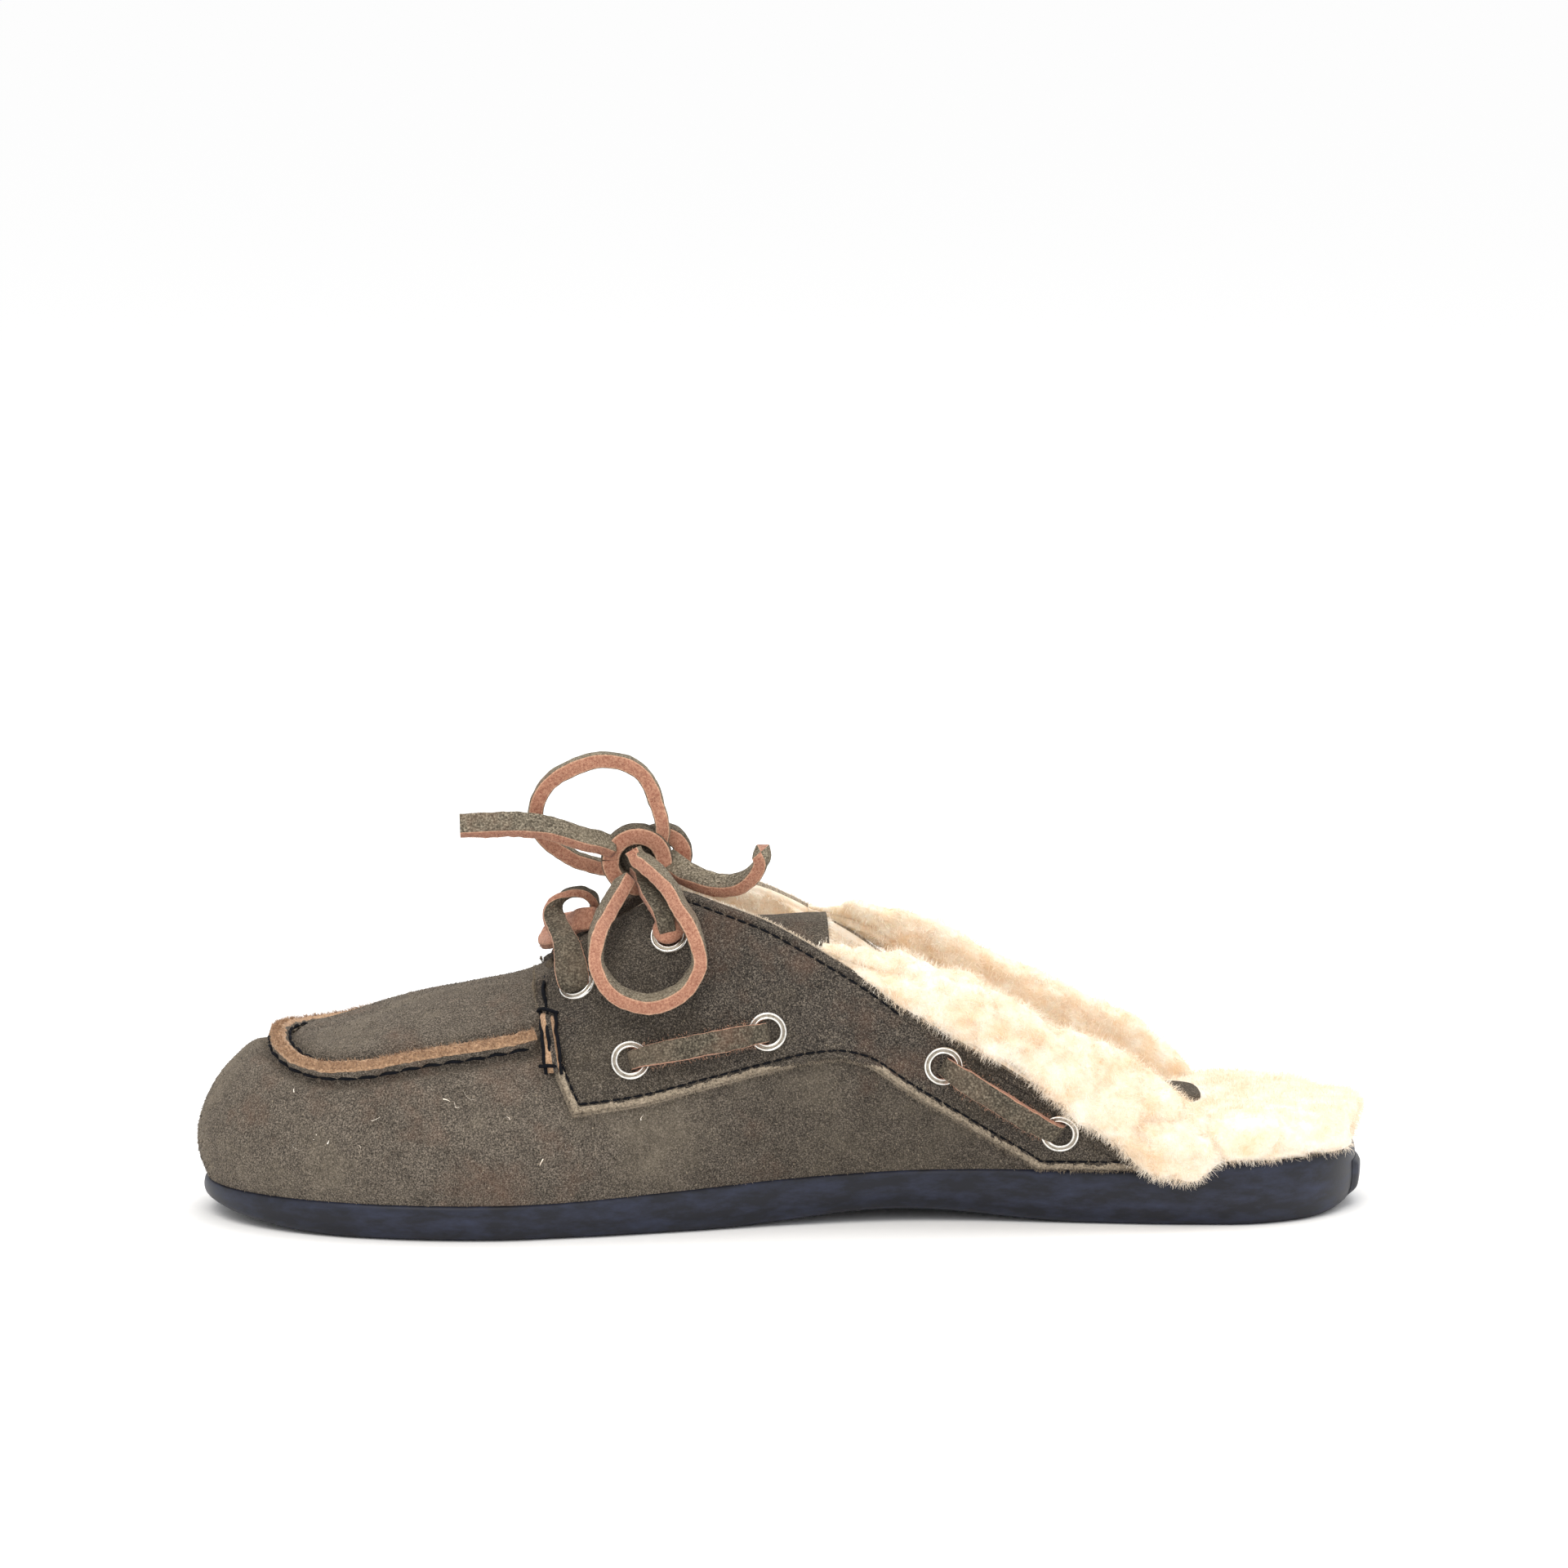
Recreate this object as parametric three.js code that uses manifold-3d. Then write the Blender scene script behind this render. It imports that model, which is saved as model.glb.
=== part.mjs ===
// A backless boat-shoe mule, one right shoe: suede upper, shearling lining, leather lace, rubber sole.
// Millimetres, +Z up, toe towards -X, inner (medial) side towards -Y, standing on z = 0.
import * as THREE from 'three';
import { mergeVertices } from 'three/addons/utils/BufferGeometryUtils.js';
import Module from 'manifold-3d';

const wasm = await Module();
wasm.setup();

// Driving dimensions
const SOLE_LENGTH = 276;
const BALL_WIDTH = 92;
const WAIST_WIDTH = 64;
const HEEL_WIDTH = 66;
const FOREFOOT_THICKNESS = 8.4;
const HEEL_THICKNESS = 15;
const TOE_SPRING = 3.6;
const ARCH_LIFT = 3;
const HEEL_SPRING = 1.6;
const TOE_HEIGHT = 50;
const INSTEP_HEIGHT = 82;
const QUARTER_PEAK = 78;
const UPPER_WALL = 2.2;
const SADDLE_THICKNESS = 1.4;
const SADDLE_GAP = 5;
const CLEARANCE = 0.3;
const FEATHER_INSET = 1;
const TONGUE_THICKNESS = 2.2;
const TONGUE_WIDTH = 42;
const PILE_DEPTH = 11;
const PILE_OVERHANG = 3;
const CUFF_DEPTH = 15;
const SEAM_WIDTH = 3;
const SEAM_HEIGHT = 2.6;
// Section of the raised seam: place across and height, as shares of its width and height
const SEAM_SECTION = [[-0.5, 0], [0.5, 0], [0.5, 0.88], [0.1, 1.1], [-0.5, 0.88]];
const EYELET_DIAMETER = 9.3;
const EYELET_BORE = 5.7;
const EYELET_RIM = 1.1;
const BARREL_WALL = 0.45;
const LACE_WIDTH = 5.3;
const LACE_THICKNESS = 2.8;
const BAR_THICKNESS = 1.8;
const HEEL_TAB_WIDTH = 18;
const HEEL_TAB_HEIGHT = 9.5;
const HEEL_TAB_THICKNESS = 0.8;
const PATCH_LENGTH = 34;
const PATCH_WIDTH = 24;
const PATCH_THICKNESS = 1;

// Sides of the shoe, as the sign of Y
const MEDIAL = -1;
const LATERAL = 1;

// Plan of the sole by share of its length from the toe: the width that it follows, the share of
// that width, and the part of it that lies on the medial side of the middle line
const PLAN = [
  { at: 0.0, of: BALL_WIDTH, share: 1.0, medial: 0.462 },
  { at: 0.25, of: BALL_WIDTH, share: 0.995, medial: 0.465 },
  { at: 0.33, of: BALL_WIDTH, share: 0.967, medial: 0.444 },
  { at: 0.41, of: BALL_WIDTH, share: 0.9, medial: 0.418 },
  { at: 0.5, of: WAIST_WIDTH, share: 1.14, medial: 0.392 },
  { at: 0.58, of: WAIST_WIDTH, share: 1.03, medial: 0.388 },
  { at: 0.66, of: WAIST_WIDTH, share: 0.99, medial: 0.409 },
  { at: 0.75, of: HEEL_WIDTH, share: 0.97, medial: 0.453 },
  { at: 0.83, of: HEEL_WIDTH, share: 0.992, medial: 0.489 },
  { at: 0.9, of: HEEL_WIDTH, share: 1.0, medial: 0.5 },
  { at: 1.0, of: HEEL_WIDTH, share: 1.0, medial: 0.5 },
];
const TOE_ROUND_MEDIAL = 0.25;
const TOE_ROUND_LATERAL = 0.32;
const HEEL_ROUND = 0.125;

// Height of the sole's top edge
const SOLE_TOP = [
  { at: 0.0, of: FOREFOOT_THICKNESS, share: 1.0 },
  { at: 0.28, of: FOREFOOT_THICKNESS, share: 1.02 },
  { at: 0.415, of: FOREFOOT_THICKNESS, share: 1.21 },
  { at: 0.54, of: HEEL_THICKNESS, share: 0.8 },
  { at: 0.65, of: HEEL_THICKNESS, share: 0.86 },
  { at: 0.8, of: HEEL_THICKNESS, share: 0.88 },
  { at: 0.9, of: HEEL_THICKNESS, share: 1.0 },
  { at: 1.0, of: HEEL_THICKNESS, share: 1.0 },
];
const TOE_SPRING_END = 0.13;
const ARCH_START = 0.43;
const ARCH_END = 0.76;
const HEEL_SPRING_START = 0.955;
const LATERAL_ARCH = 0.5;

// Side of the sole from the ground to its top: how far it lies inside the outline, as a share of
// the forefoot's thickness, and how far up
const SOLE_SIDE = [
  { in: 0.405, up: 0 },
  { in: 0.155, up: 0.1 },
  { in: 0.036, up: 0.3 },
  { in: 0, up: 0.55 },
  { in: 0.03, up: 0.88 },
  { in: 0.107, up: 1 },
];

// Crest of the closed last form under the upper: height, bluntness of the section (2 is an
// ellipse), sideways place as a share of the ball width, and how far each wall bellies out
const CREST = [
  { at: 0.1, of: TOE_HEIGHT, share: 0.85, blunt: 2.4, shift: 0.011 },
  { at: 0.135, of: TOE_HEIGHT, share: 0.915, blunt: 2.4, shift: 0.008 },
  { at: 0.165, of: TOE_HEIGHT, share: 0.98, blunt: 2.35, shift: 0.003 },
  { at: 0.2, of: TOE_HEIGHT, share: 1.04, blunt: 2.25, shift: -0.002 },
  { at: 0.24, of: TOE_HEIGHT, share: 1.085, blunt: 2.15, shift: -0.008 },
  { at: 0.29, of: TOE_HEIGHT, share: 1.155, blunt: 2.05, shift: -0.02 },
  { at: 0.326, of: INSTEP_HEIGHT, share: 0.8, blunt: 2.0, shift: -0.026 },
  { at: 0.365, of: INSTEP_HEIGHT, share: 0.905, blunt: 2.0, shift: -0.03 },
  { at: 0.41, of: INSTEP_HEIGHT, share: 0.995, blunt: 2.0, shift: -0.032 },
  { at: 0.45, of: INSTEP_HEIGHT, share: 1.045, blunt: 2.1, shift: -0.03 },
  { at: 0.48, of: INSTEP_HEIGHT, share: 1.11, blunt: 2.2, shift: -0.024 },
  { at: 0.54, of: INSTEP_HEIGHT, share: 1.16, blunt: 2.5, shift: -0.01 },
  { at: 0.7, of: INSTEP_HEIGHT, share: 1.13, blunt: 2.7, shift: 0 },
  { at: 0.88, of: INSTEP_HEIGHT, share: 1.1, blunt: 2.8, shift: 0 },
];
const BELLY = [
  { at: 0.0, medial: 0.13, lateral: 0.12 },
  { at: 0.2, medial: 0.11, lateral: 0.1 },
  { at: 0.35, medial: 0.12, lateral: 0.08 },
  { at: 0.45, medial: 0.24, lateral: 0.1 },
  { at: 0.56, medial: 0.33, lateral: 0.12 },
  { at: 0.66, medial: 0.27, lateral: 0.13 },
  { at: 0.78, medial: 0.15, lateral: 0.13 },
  { at: 0.88, medial: 0.1, lateral: 0.1 },
];
const BELLY_TOP = 0.4;
const TOE_BLEND = 0.05;
const SPINE_START = 0.1;
const SPINE_JOIN = 0.25;
const SPINE_POWER = 1.67;
const UPPER_END = 0.885;

// Edge of throat and collar seen from the side, where the upper stops
const TOPLINE = [
  { at: 0.27, of: TOE_HEIGHT, share: 1.4 },
  { at: 0.296, of: TOE_HEIGHT, share: 1.17 },
  { at: 0.326, of: QUARTER_PEAK, share: 0.838 },
  { at: 0.363, of: QUARTER_PEAK, share: 0.921 },
  { at: 0.387, of: QUARTER_PEAK, share: 0.968 },
  { at: 0.411, of: QUARTER_PEAK, share: 1.0 },
  { at: 0.449, of: QUARTER_PEAK, share: 0.97 },
  { at: 0.481, of: QUARTER_PEAK, share: 0.935 },
  { at: 0.514, of: QUARTER_PEAK, share: 0.878 },
  { at: 0.54, of: QUARTER_PEAK, share: 0.824 },
  { at: 0.571, of: QUARTER_PEAK, share: 0.755 },
  { at: 0.624, of: QUARTER_PEAK, share: 0.615 },
  { at: 0.692, of: QUARTER_PEAK, share: 0.472 },
  { at: 0.741, of: QUARTER_PEAK, share: 0.35 },
  { at: 0.8, of: QUARTER_PEAK, share: 0.19 },
  { at: 0.83, of: QUARTER_PEAK, share: 0.1 },
  { at: 0.95, of: QUARTER_PEAK, share: 0.02 },
];

const TOPLINE_STEPS = 34;

// Front and lower edge of the saddle seen from the side, from the crest down to its front corner
// and on to the heel
const SADDLE_EDGE = [
  { at: 0.29, of: TOE_HEIGHT, share: 1.3 },
  { at: 0.288, of: TOE_HEIGHT, share: 1.05 },
  { at: 0.303, of: TOE_HEIGHT, share: 0.78 },
  { at: 0.318, of: TOE_HEIGHT, share: 0.585 },
  { at: 0.371, of: TOE_HEIGHT, share: 0.62 },
  { at: 0.435, of: TOE_HEIGHT, share: 0.7 },
  { at: 0.494, of: TOE_HEIGHT, share: 0.775 },
  { at: 0.519, of: TOE_HEIGHT, share: 0.805 },
  { at: 0.541, of: TOE_HEIGHT, share: 0.815 },
  { at: 0.561, of: TOE_HEIGHT, share: 0.795 },
  { at: 0.602, of: TOE_HEIGHT, share: 0.652 },
  { at: 0.664, of: TOE_HEIGHT, share: 0.44 },
  { at: 0.72, of: TOE_HEIGHT, share: 0.24 },
];
const SADDLE_CORNER = 3;
const SADDLE_STEPS = 24;
const SADDLE_HEEL = 0.75;

// Path of the apron's raised seam over the toe, from one side to the other: how far out from the
// crest it lies, as a share of the way to the side wall
const SEAM_PATH = [
  { at: 0.0, medial: 0.54, lateral: 0.54 },
  { at: 0.03, medial: 0.65, lateral: 0.6 },
  { at: 0.07, medial: 0.74, lateral: 0.67 },
  { at: 0.12, medial: 0.785, lateral: 0.72 },
  { at: 0.18, medial: 0.785, lateral: 0.725 },
  { at: 0.24, medial: 0.755, lateral: 0.71 },
  { at: 0.288, medial: 0.72, lateral: 0.69 },
];

// Eyelets of one side: place along the sole and height
const EYELETS = [
  { name: 'throat_front', at: 0.326, of: INSTEP_HEIGHT, share: 0.6925 },
  { name: 'throat_rear', at: 0.403, of: INSTEP_HEIGHT, share: 0.8323 },
  { name: 'side_1', at: 0.367, of: QUARTER_PEAK, share: 0.532 },
  { name: 'side_2', at: 0.483, of: QUARTER_PEAK, share: 0.612 },
  { name: 'side_3', at: 0.632, of: QUARTER_PEAK, share: 0.503 },
  { name: 'side_4', at: 0.732, of: QUARTER_PEAK, share: 0.297 },
];
const eyeletNamed = (name) => EYELETS.find((row) => row.name === name);
const THROAT_FRONT = eyeletNamed('throat_front');
const THROAT_REAR = eyeletNamed('throat_rear');
const LACE_BARS = [
  { name: 'front', from: eyeletNamed('side_1'), to: eyeletNamed('side_2') },
  { name: 'rear', from: eyeletNamed('side_3'), to: eyeletNamed('side_4') },
];
const EYELET_SIDES = 8;
const HOLE_SIDES = 6;

// Tongue's middle line: height of its top face, and how far its edges hang below it
const TONGUE_LINE = [
  { at: 0.272, of: TOE_HEIGHT, share: 1.076, bow: 0.19 },
  { at: 0.31, of: TOE_HEIGHT, share: 1.13, bow: 0.23 },
  { at: 0.35, of: TOE_HEIGHT, share: 1.24, bow: 0.23 },
  { at: 0.4, of: TOE_HEIGHT, share: 1.335, bow: 0.21 },
  { at: 0.46, of: TOE_HEIGHT, share: 1.395, bow: 0.19 },
  { at: 0.538, of: TOE_HEIGHT, share: 1.415, bow: 0.17 },
];
const TONGUE_STATIONS = 10;
const TONGUE_STRIPS = 6;

// Shearling roll along the collar: its lowest and highest line seen from the side, and its depth
const CUFF = [
  { at: 0.53, of: QUARTER_PEAK, low: 0.8, high: 0.87, rise: 0.0, depth: 0.24 },
  { at: 0.576, of: QUARTER_PEAK, low: 0.71, high: 0.865, rise: 0.015, depth: 0.55 },
  { at: 0.64, of: QUARTER_PEAK, low: 0.575, high: 0.81, rise: 0.02, depth: 0.8 },
  { at: 0.7, of: QUARTER_PEAK, low: 0.45, high: 0.69, rise: 0.025, depth: 0.93 },
  { at: 0.76, of: QUARTER_PEAK, low: 0.28, high: 0.585, rise: 0.05, depth: 1.0 },
  { at: 0.81, of: QUARTER_PEAK, low: 0.14, high: 0.49, rise: 0.055, depth: 1.0 },
  { at: 0.85, of: QUARTER_PEAK, low: 0.13, high: 0.38, rise: 0.055, depth: 0.9 },
  { at: 0.874, of: QUARTER_PEAK, low: 0.19, high: 0.315, rise: 0.03, depth: 0.5 },
];

// Bow: the lace's route in each free stretch, and the knot. The width of the lace lies across
// the direction given for the first and the last point.
const LOOP_UPPER = {
  across: [[0, 1, 0], [0, 1, 0]],
  steps: 22,
  points: [
    [-28.6, -5.2, 93.4], [-29.2, -4.6, 95.6], [-30.0, -4.0, 98.0], [-31.1, -3.5, 101.4],
    [-33.2, -3.0, 104.6], [-36.3, -3.0, 106.8], [-39.6, -3.0, 107.7], [-43.1, -3.0, 108.0],
    [-46.6, -3.0, 107.3], [-50.1, -3.0, 105.9], [-53.5, -3.0, 104.0], [-56.1, -2.5, 101.4],
    [-57.8, -2.0, 98.2], [-58.4, -1.0, 94.5], [-57.5, 0.0, 90.9], [-55.3, 1.0, 87.7], [-52.2, 1.5, 85.3],
    [-48.8, 1.0, 83.4], [-43.6, 0.0, 82.0],
  ],
};
const LOOP_LOWER = {
  across: [[0, 1, 0.2], [0, 1, 0.2]],
  steps: 26,
  points: [
    [-35.6, -12.3, 87.8], [-34.5, -12.8, 86.0], [-32.5, -14.8, 84.7], [-29.8, -18.7, 82.6],
    [-27.2, -22.8, 80.0], [-25.0, -27.1, 76.5], [-22.9, -30.7, 73.2], [-21.4, -33.1, 69.6],
    [-20.7, -34.4, 66.2], [-21.1, -36.0, 63.2], [-22.6, -36.5, 60.6], [-24.5, -37.5, 58.5],
    [-27.2, -38.2, 56.9], [-30.3, -38.5, 55.8], [-33.5, -38.5, 55.5], [-36.7, -38.2, 56.2],
    [-39.6, -37.5, 57.4], [-42.0, -36.3, 59.4], [-43.7, -34.5, 62.0], [-44.6, -32.0, 64.8],
    [-44.5, -29.0, 68.2], [-43.7, -25.5, 71.2], [-42.3, -22.0, 73.8], [-40.6, -18.7, 76.3],
    [-38.8, -15.8, 78.7], [-37.4, -13.6, 80.7],
  ],
};
const END_LEFT = {
  across: [[0, 0.8, 0.6], [0, 0.55, 0.85]],
  steps: 10,
  points: [
    [-42.7, -8.5, 88.7], [-43.9, -9.1, 89.2], [-46.5, -10.0, 89.9], [-49.6, -10.5, 91.0],
    [-52.7, -11.0, 92.1], [-56.2, -11.5, 93.2], [-59.6, -12.0, 93.7], [-63.1, -12.0, 94.0],
    [-66.5, -12.5, 94.1], [-70.0, -13.0, 94.1], [-73.4, -13.0, 94.0], [-76.3, -13.0, 93.9],
  ],
};
const END_RIGHT = {
  across: [[0, 0.7, 0.7], [0.3, 0.9, 0.3]],
  steps: 11,
  points: [
    [-24.4, -8.0, 82.5], [-23.3, -9.3, 81.8], [-21.4, -11.0, 81.0], [-19.0, -12.6, 80.2],
    [-16.3, -14.0, 79.6], [-13.7, -15.0, 79.5], [-11.2, -16.0, 79.9], [-9.1, -17.0, 81.0],
    [-7.4, -18.0, 82.5], [-6.0, -19.0, 84.5], [-5.4, -20.0, 86.6], [-5.8, -21.0, 88.4],
  ],
};
const KNOT_MIDDLE = [-34.5, -6, 84.5];
const KNOT_RADIUS = 8.5;
const KNOT_HOLLOW = 4.2;
const SECOND_WRAP_MIDDLE = [-28.3, -0.8, 85.4];
const SECOND_WRAP_RADIUS = 7;
const SECOND_WRAP_WIDTH = 4.3;
const CORE_GROWTH = 1;
const CORE_FLATNESS = 0.5;
const CORE_SHIFT = 2;
const LEG_STEPS = 9;
const BAR_STEPS = 7;
const WRAP_SIDES = 12;
const CROSSING_STEPS = 13;
const EYELET_SEAT = CLEARANCE + SADDLE_THICKNESS + CLEARANCE;
const BORE_FLATS = EYELET_BORE * Math.cos(Math.PI / EYELET_SIDES);
const LACE_IN_BORE = Math.sqrt((BORE_FLATS - 2 * CLEARANCE) ** 2 - BAR_THICKNESS ** 2);
const LACE_LIFT = EYELET_RIM + BAR_THICKNESS / 2 + 2 * CLEARANCE;

// Leg from the knot to a rear throat eyelet: its start, out from the crest line, then places over
// the saddle
const KNOT_LEG_START = [[-33.8, 3, 82], [-32.8, 6, 81.4]];
const KNOT_LEG = [
  { at: 0.391, of: INSTEP_HEIGHT, share: 0.932, lift: LACE_LIFT },
  { at: 0.396, of: INSTEP_HEIGHT, share: 0.899, lift: LACE_LIFT + CLEARANCE },
  { at: 0.401, of: INSTEP_HEIGHT, share: 0.87, lift: LACE_LIFT + 3 * CLEARANCE },
];

// Strands over the front of the throat: along, across, and height as a share of the instep's
const CROSSING_MEDIAL = [
  [-45.6, 7, 0.885], [-48.2, 4.5, 0.907], [-50.6, 1.5, 0.92], [-52.3, -2, 0.913], [-53, -6, 0.89],
  [-52.6, -10, 0.871], [-51.8, -15, 0.844], [-51, -20.5, 0.812],
];
const CROSSING_LATERAL = [
  [-47, -6, 0.89], [-50.4, -2.5, 0.878], [-53, 1.5, 0.861], [-54.6, 6, 0.837], [-55, 11, 0.817],
  [-54, 16, 0.815], [-51.4, 20, 0.815],
];

// Shapes through tables

function slopes(x, y) {
  const secant = x.slice(1).map((value, i) => (y[i + 1] - y[i]) / (value - x[i]));
  return x.map((_, i) => {
    const before = secant[Math.max(i - 1, 0)];
    const after = secant[Math.min(i, secant.length - 1)];
    return before * after <= 0 ? 0 : (2 * before * after) / (before + after);
  });
}

// A smooth function through a table's rows that never overshoots them
function along(rows, value) {
  const x = rows.map((row) => row.at);
  const y = rows.map(value);
  const slope = slopes(x, y);
  return (at) => {
    if (at <= x[0]) return y[0];
    if (at >= x[x.length - 1]) return y[y.length - 1];
    const i = x.findIndex((edge) => edge > at) - 1;
    const span = x[i + 1] - x[i];
    const t = (at - x[i]) / span;
    const bend = t * t * (3 - 2 * t);
    const start = t * (1 - t) * (1 - t) * span * slope[i];
    const end = t * t * (t - 1) * span * slope[i + 1];
    return y[i] * (1 - bend) + y[i + 1] * bend + start + end;
  };
}

const sized = (row) => row.of * row.share;
const width = along(PLAN, sized);
const medialPart = along(PLAN, (row) => row.medial);
const soleTop = along(SOLE_TOP, sized);
const crest = along(CREST, sized);
const bluntness = along(CREST, (row) => row.blunt);
const crestShift = along(CREST, (row) => row.shift * BALL_WIDTH);
const bellies = {
  [MEDIAL]: along(BELLY, (row) => row.medial),
  [LATERAL]: along(BELLY, (row) => row.lateral),
};
const topline = along(TOPLINE, sized);
const tongueLine = along(TONGUE_LINE, sized);
const tongueBow = along(TONGUE_LINE, (row) => row.bow * TONGUE_WIDTH);
const seamOut = {
  [MEDIAL]: along(SEAM_PATH, (row) => row.medial),
  [LATERAL]: along(SEAM_PATH, (row) => row.lateral),
};
const cuffLow = along(CUFF, (row) => row.of * row.low);
const cuffHigh = {
  [MEDIAL]: along(CUFF, (row) => row.of * row.high),
  [LATERAL]: along(CUFF, (row) => row.of * (row.high + row.rise)),
};
const cuffDepth = along(CUFF, (row) => row.depth * CUFF_DEPTH);

const lengthwise = (at) => (at - 0.5) * SOLE_LENGTH;
const round = (share) => (share >= 1 ? 1 : Math.sqrt(Math.max(0, 1 - (1 - share) ** 2)));

// Stations crowd towards toe and heel, so that the ends come out round
const stationOf = (u) => (1 - Math.cos(Math.PI * u)) / 2;
const paramOf = (at) => Math.acos(1 - 2 * at) / Math.PI;

// Small step in a parameter, for a direction along or across a surface
const STEP = 0.003;

function halfWidth(side, at) {
  const part = side === MEDIAL ? medialPart(at) : 1 - medialPart(at);
  const toe = round(at / (side === MEDIAL ? TOE_ROUND_MEDIAL : TOE_ROUND_LATERAL));
  return width(at) * part * toe * round((1 - at) / HEEL_ROUND);
}

// A point on the sole's outline. Past either end it runs on round the other side.
function outline(side, u) {
  const mirrored = u < 0 || u > 1;
  const inside = u < 0 ? -u : u > 1 ? 2 - u : u;
  const at = stationOf(inside);
  const face = mirrored ? -side : side;
  return new THREE.Vector2(lengthwise(at), face * halfWidth(face, at));
}

// The outline moved in by a distance (out if negative), square to itself
function insetOutline(side, u, inset) {
  const direction = outline(side, u + STEP).sub(outline(side, u - STEP)).normalize();
  const inward = new THREE.Vector2(direction.y, -direction.x).multiplyScalar(side);
  const point = outline(side, u).addScaledVector(inward, inset);
  if (u <= 0 || u >= 1) point.y = 0;
  return point;
}

function groundLift(side, at) {
  const toe = Math.max(0, (TOE_SPRING_END - at) / TOE_SPRING_END);
  const heel = Math.max(0, (at - HEEL_SPRING_START) / (1 - HEEL_SPRING_START));
  const inArch = at > ARCH_START && at < ARCH_END;
  const arch = inArch ? Math.sin((Math.PI * (at - ARCH_START)) / (ARCH_END - ARCH_START)) ** 2 : 0;
  const share = side === MEDIAL ? 1 : LATERAL_ARCH;
  return TOE_SPRING * toe ** 2 + HEEL_SPRING * heel ** 2 + ARCH_LIFT * share * arch;
}

// Mesh building

// Collects quads of points into one closed geometry
class Skin {
  constructor() {
    this.positions = [];
  }

  triangle(a, b, c) {
    for (const point of [a, b, c]) {
      this.positions.push(point.x, point.y, point.z);
    }
  }

  quad(a, b, c, d) {
    this.triangle(a, b, c);
    this.triangle(a, c, d);
  }

  // Joins two rows of points of equal length
  band(lower, upper) {
    for (let i = 0; i + 1 < lower.length; i += 1) {
      this.quad(lower[i], lower[i + 1], upper[i + 1], upper[i]);
    }
  }

  // Joins closed rings in a row and closes both ends with fans round their middles
  tube(rings) {
    const closed = rings.map((ring) => [...ring, ring[0]]);
    for (let i = 0; i + 1 < closed.length; i += 1) {
      this.band(closed[i], closed[i + 1]);
    }
    this.fan(closed[0].slice().reverse());
    this.fan(closed[closed.length - 1]);
  }

  fan(ring) {
    const middle = new THREE.Vector3();
    ring.slice(1).forEach((point) => middle.add(point));
    middle.divideScalar(ring.length - 1);
    for (let i = 0; i + 1 < ring.length; i += 1) {
      this.triangle(middle, ring[i], ring[i + 1]);
    }
  }

  // The closed body, with its faces turned outwards
  solid() {
    const geometry = new THREE.BufferGeometry();
    geometry.setAttribute('position', new THREE.Float32BufferAttribute(this.positions, 3));
    return toSolid(geometry);
  }
}

const MERGE_DISTANCE = 1e-3;
const FLAT_ENOUGH = 0.07;

function signedVolume(vertices, triangles) {
  const corner = (index) => new THREE.Vector3().fromArray(vertices, triangles[index] * 3);
  let volume = 0;
  for (let i = 0; i < triangles.length; i += 3) {
    volume += corner(i).dot(corner(i + 1).cross(corner(i + 2))) / 6;
  }
  return volume;
}

function toSolid(geometry) {
  const bare = geometry.clone();
  bare.deleteAttribute('normal');
  bare.deleteAttribute('uv');
  const merged = mergeVertices(bare, MERGE_DISTANCE);
  const vertices = new Float32Array(merged.attributes.position.array);
  const kept = [];
  const index = merged.index.array;
  for (let i = 0; i < index.length; i += 3) {
    const [a, b, c] = [index[i], index[i + 1], index[i + 2]];
    if (a !== b && b !== c && c !== a) kept.push(a, b, c);
  }
  if (signedVolume(vertices, kept) < 0) kept.reverse();
  const triangles = new Uint32Array(kept);
  return new wasm.Manifold(new wasm.Mesh({ numProp: 3, vertProperties: vertices, triVerts: triangles }));
}

function toGeometry(solid) {
  const mesh = solid.simplify(FLAT_ENOUGH).getMesh();
  const geometry = new THREE.BufferGeometry();
  geometry.setAttribute('position', new THREE.BufferAttribute(new Float32Array(mesh.vertProperties), 3));
  geometry.setIndex(new THREE.BufferAttribute(new Uint32Array(mesh.triVerts), 1));
  geometry.computeVertexNormals();
  return geometry;
}

// The largest of a solid's separate bodies
function largest(solid) {
  return solid.decompose().sort((a, b) => b.volume() - a.volume())[0];
}

// Flat-sided block on an outline drawn in the X-Z plane, standing across the whole shoe
function sidePrism(points) {
  const shape = new THREE.Shape(points);
  const reach = 2 * BALL_WIDTH;
  const block = new THREE.ExtrudeGeometry(shape, { depth: reach, bevelEnabled: false });
  block.rotateX(Math.PI / 2);
  block.translate(0, reach / 2, 0);
  return toSolid(block);
}

// Sole

const SOLE_STATIONS = 30;

// Stacked outlines: each level gives the inset and the height at a side and station
function slab(levels) {
  const skin = new Skin();
  const rows = levels.map((level) => {
    const rim = (side) => Array.from({ length: SOLE_STATIONS + 1 }, (_, i) => {
      const u = i / SOLE_STATIONS;
      const plan = insetOutline(side, u, level.inset(stationOf(u)));
      return new THREE.Vector3(plan.x, plan.y, level.height(side, stationOf(u)));
    });
    const sides = { medial: rim(MEDIAL), lateral: rim(LATERAL) };
    sides.lateral[0] = sides.medial[0];
    sides.lateral[SOLE_STATIONS] = sides.medial[SOLE_STATIONS];
    return sides;
  });
  for (let i = 0; i + 1 < rows.length; i += 1) {
    skin.band(rows[i].medial, rows[i + 1].medial);
    skin.band(rows[i + 1].lateral, rows[i].lateral);
  }
  skin.band(rows[0].lateral, rows[0].medial);
  const top = rows[rows.length - 1];
  skin.band(top.medial, top.lateral);
  return skin.solid();
}

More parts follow.
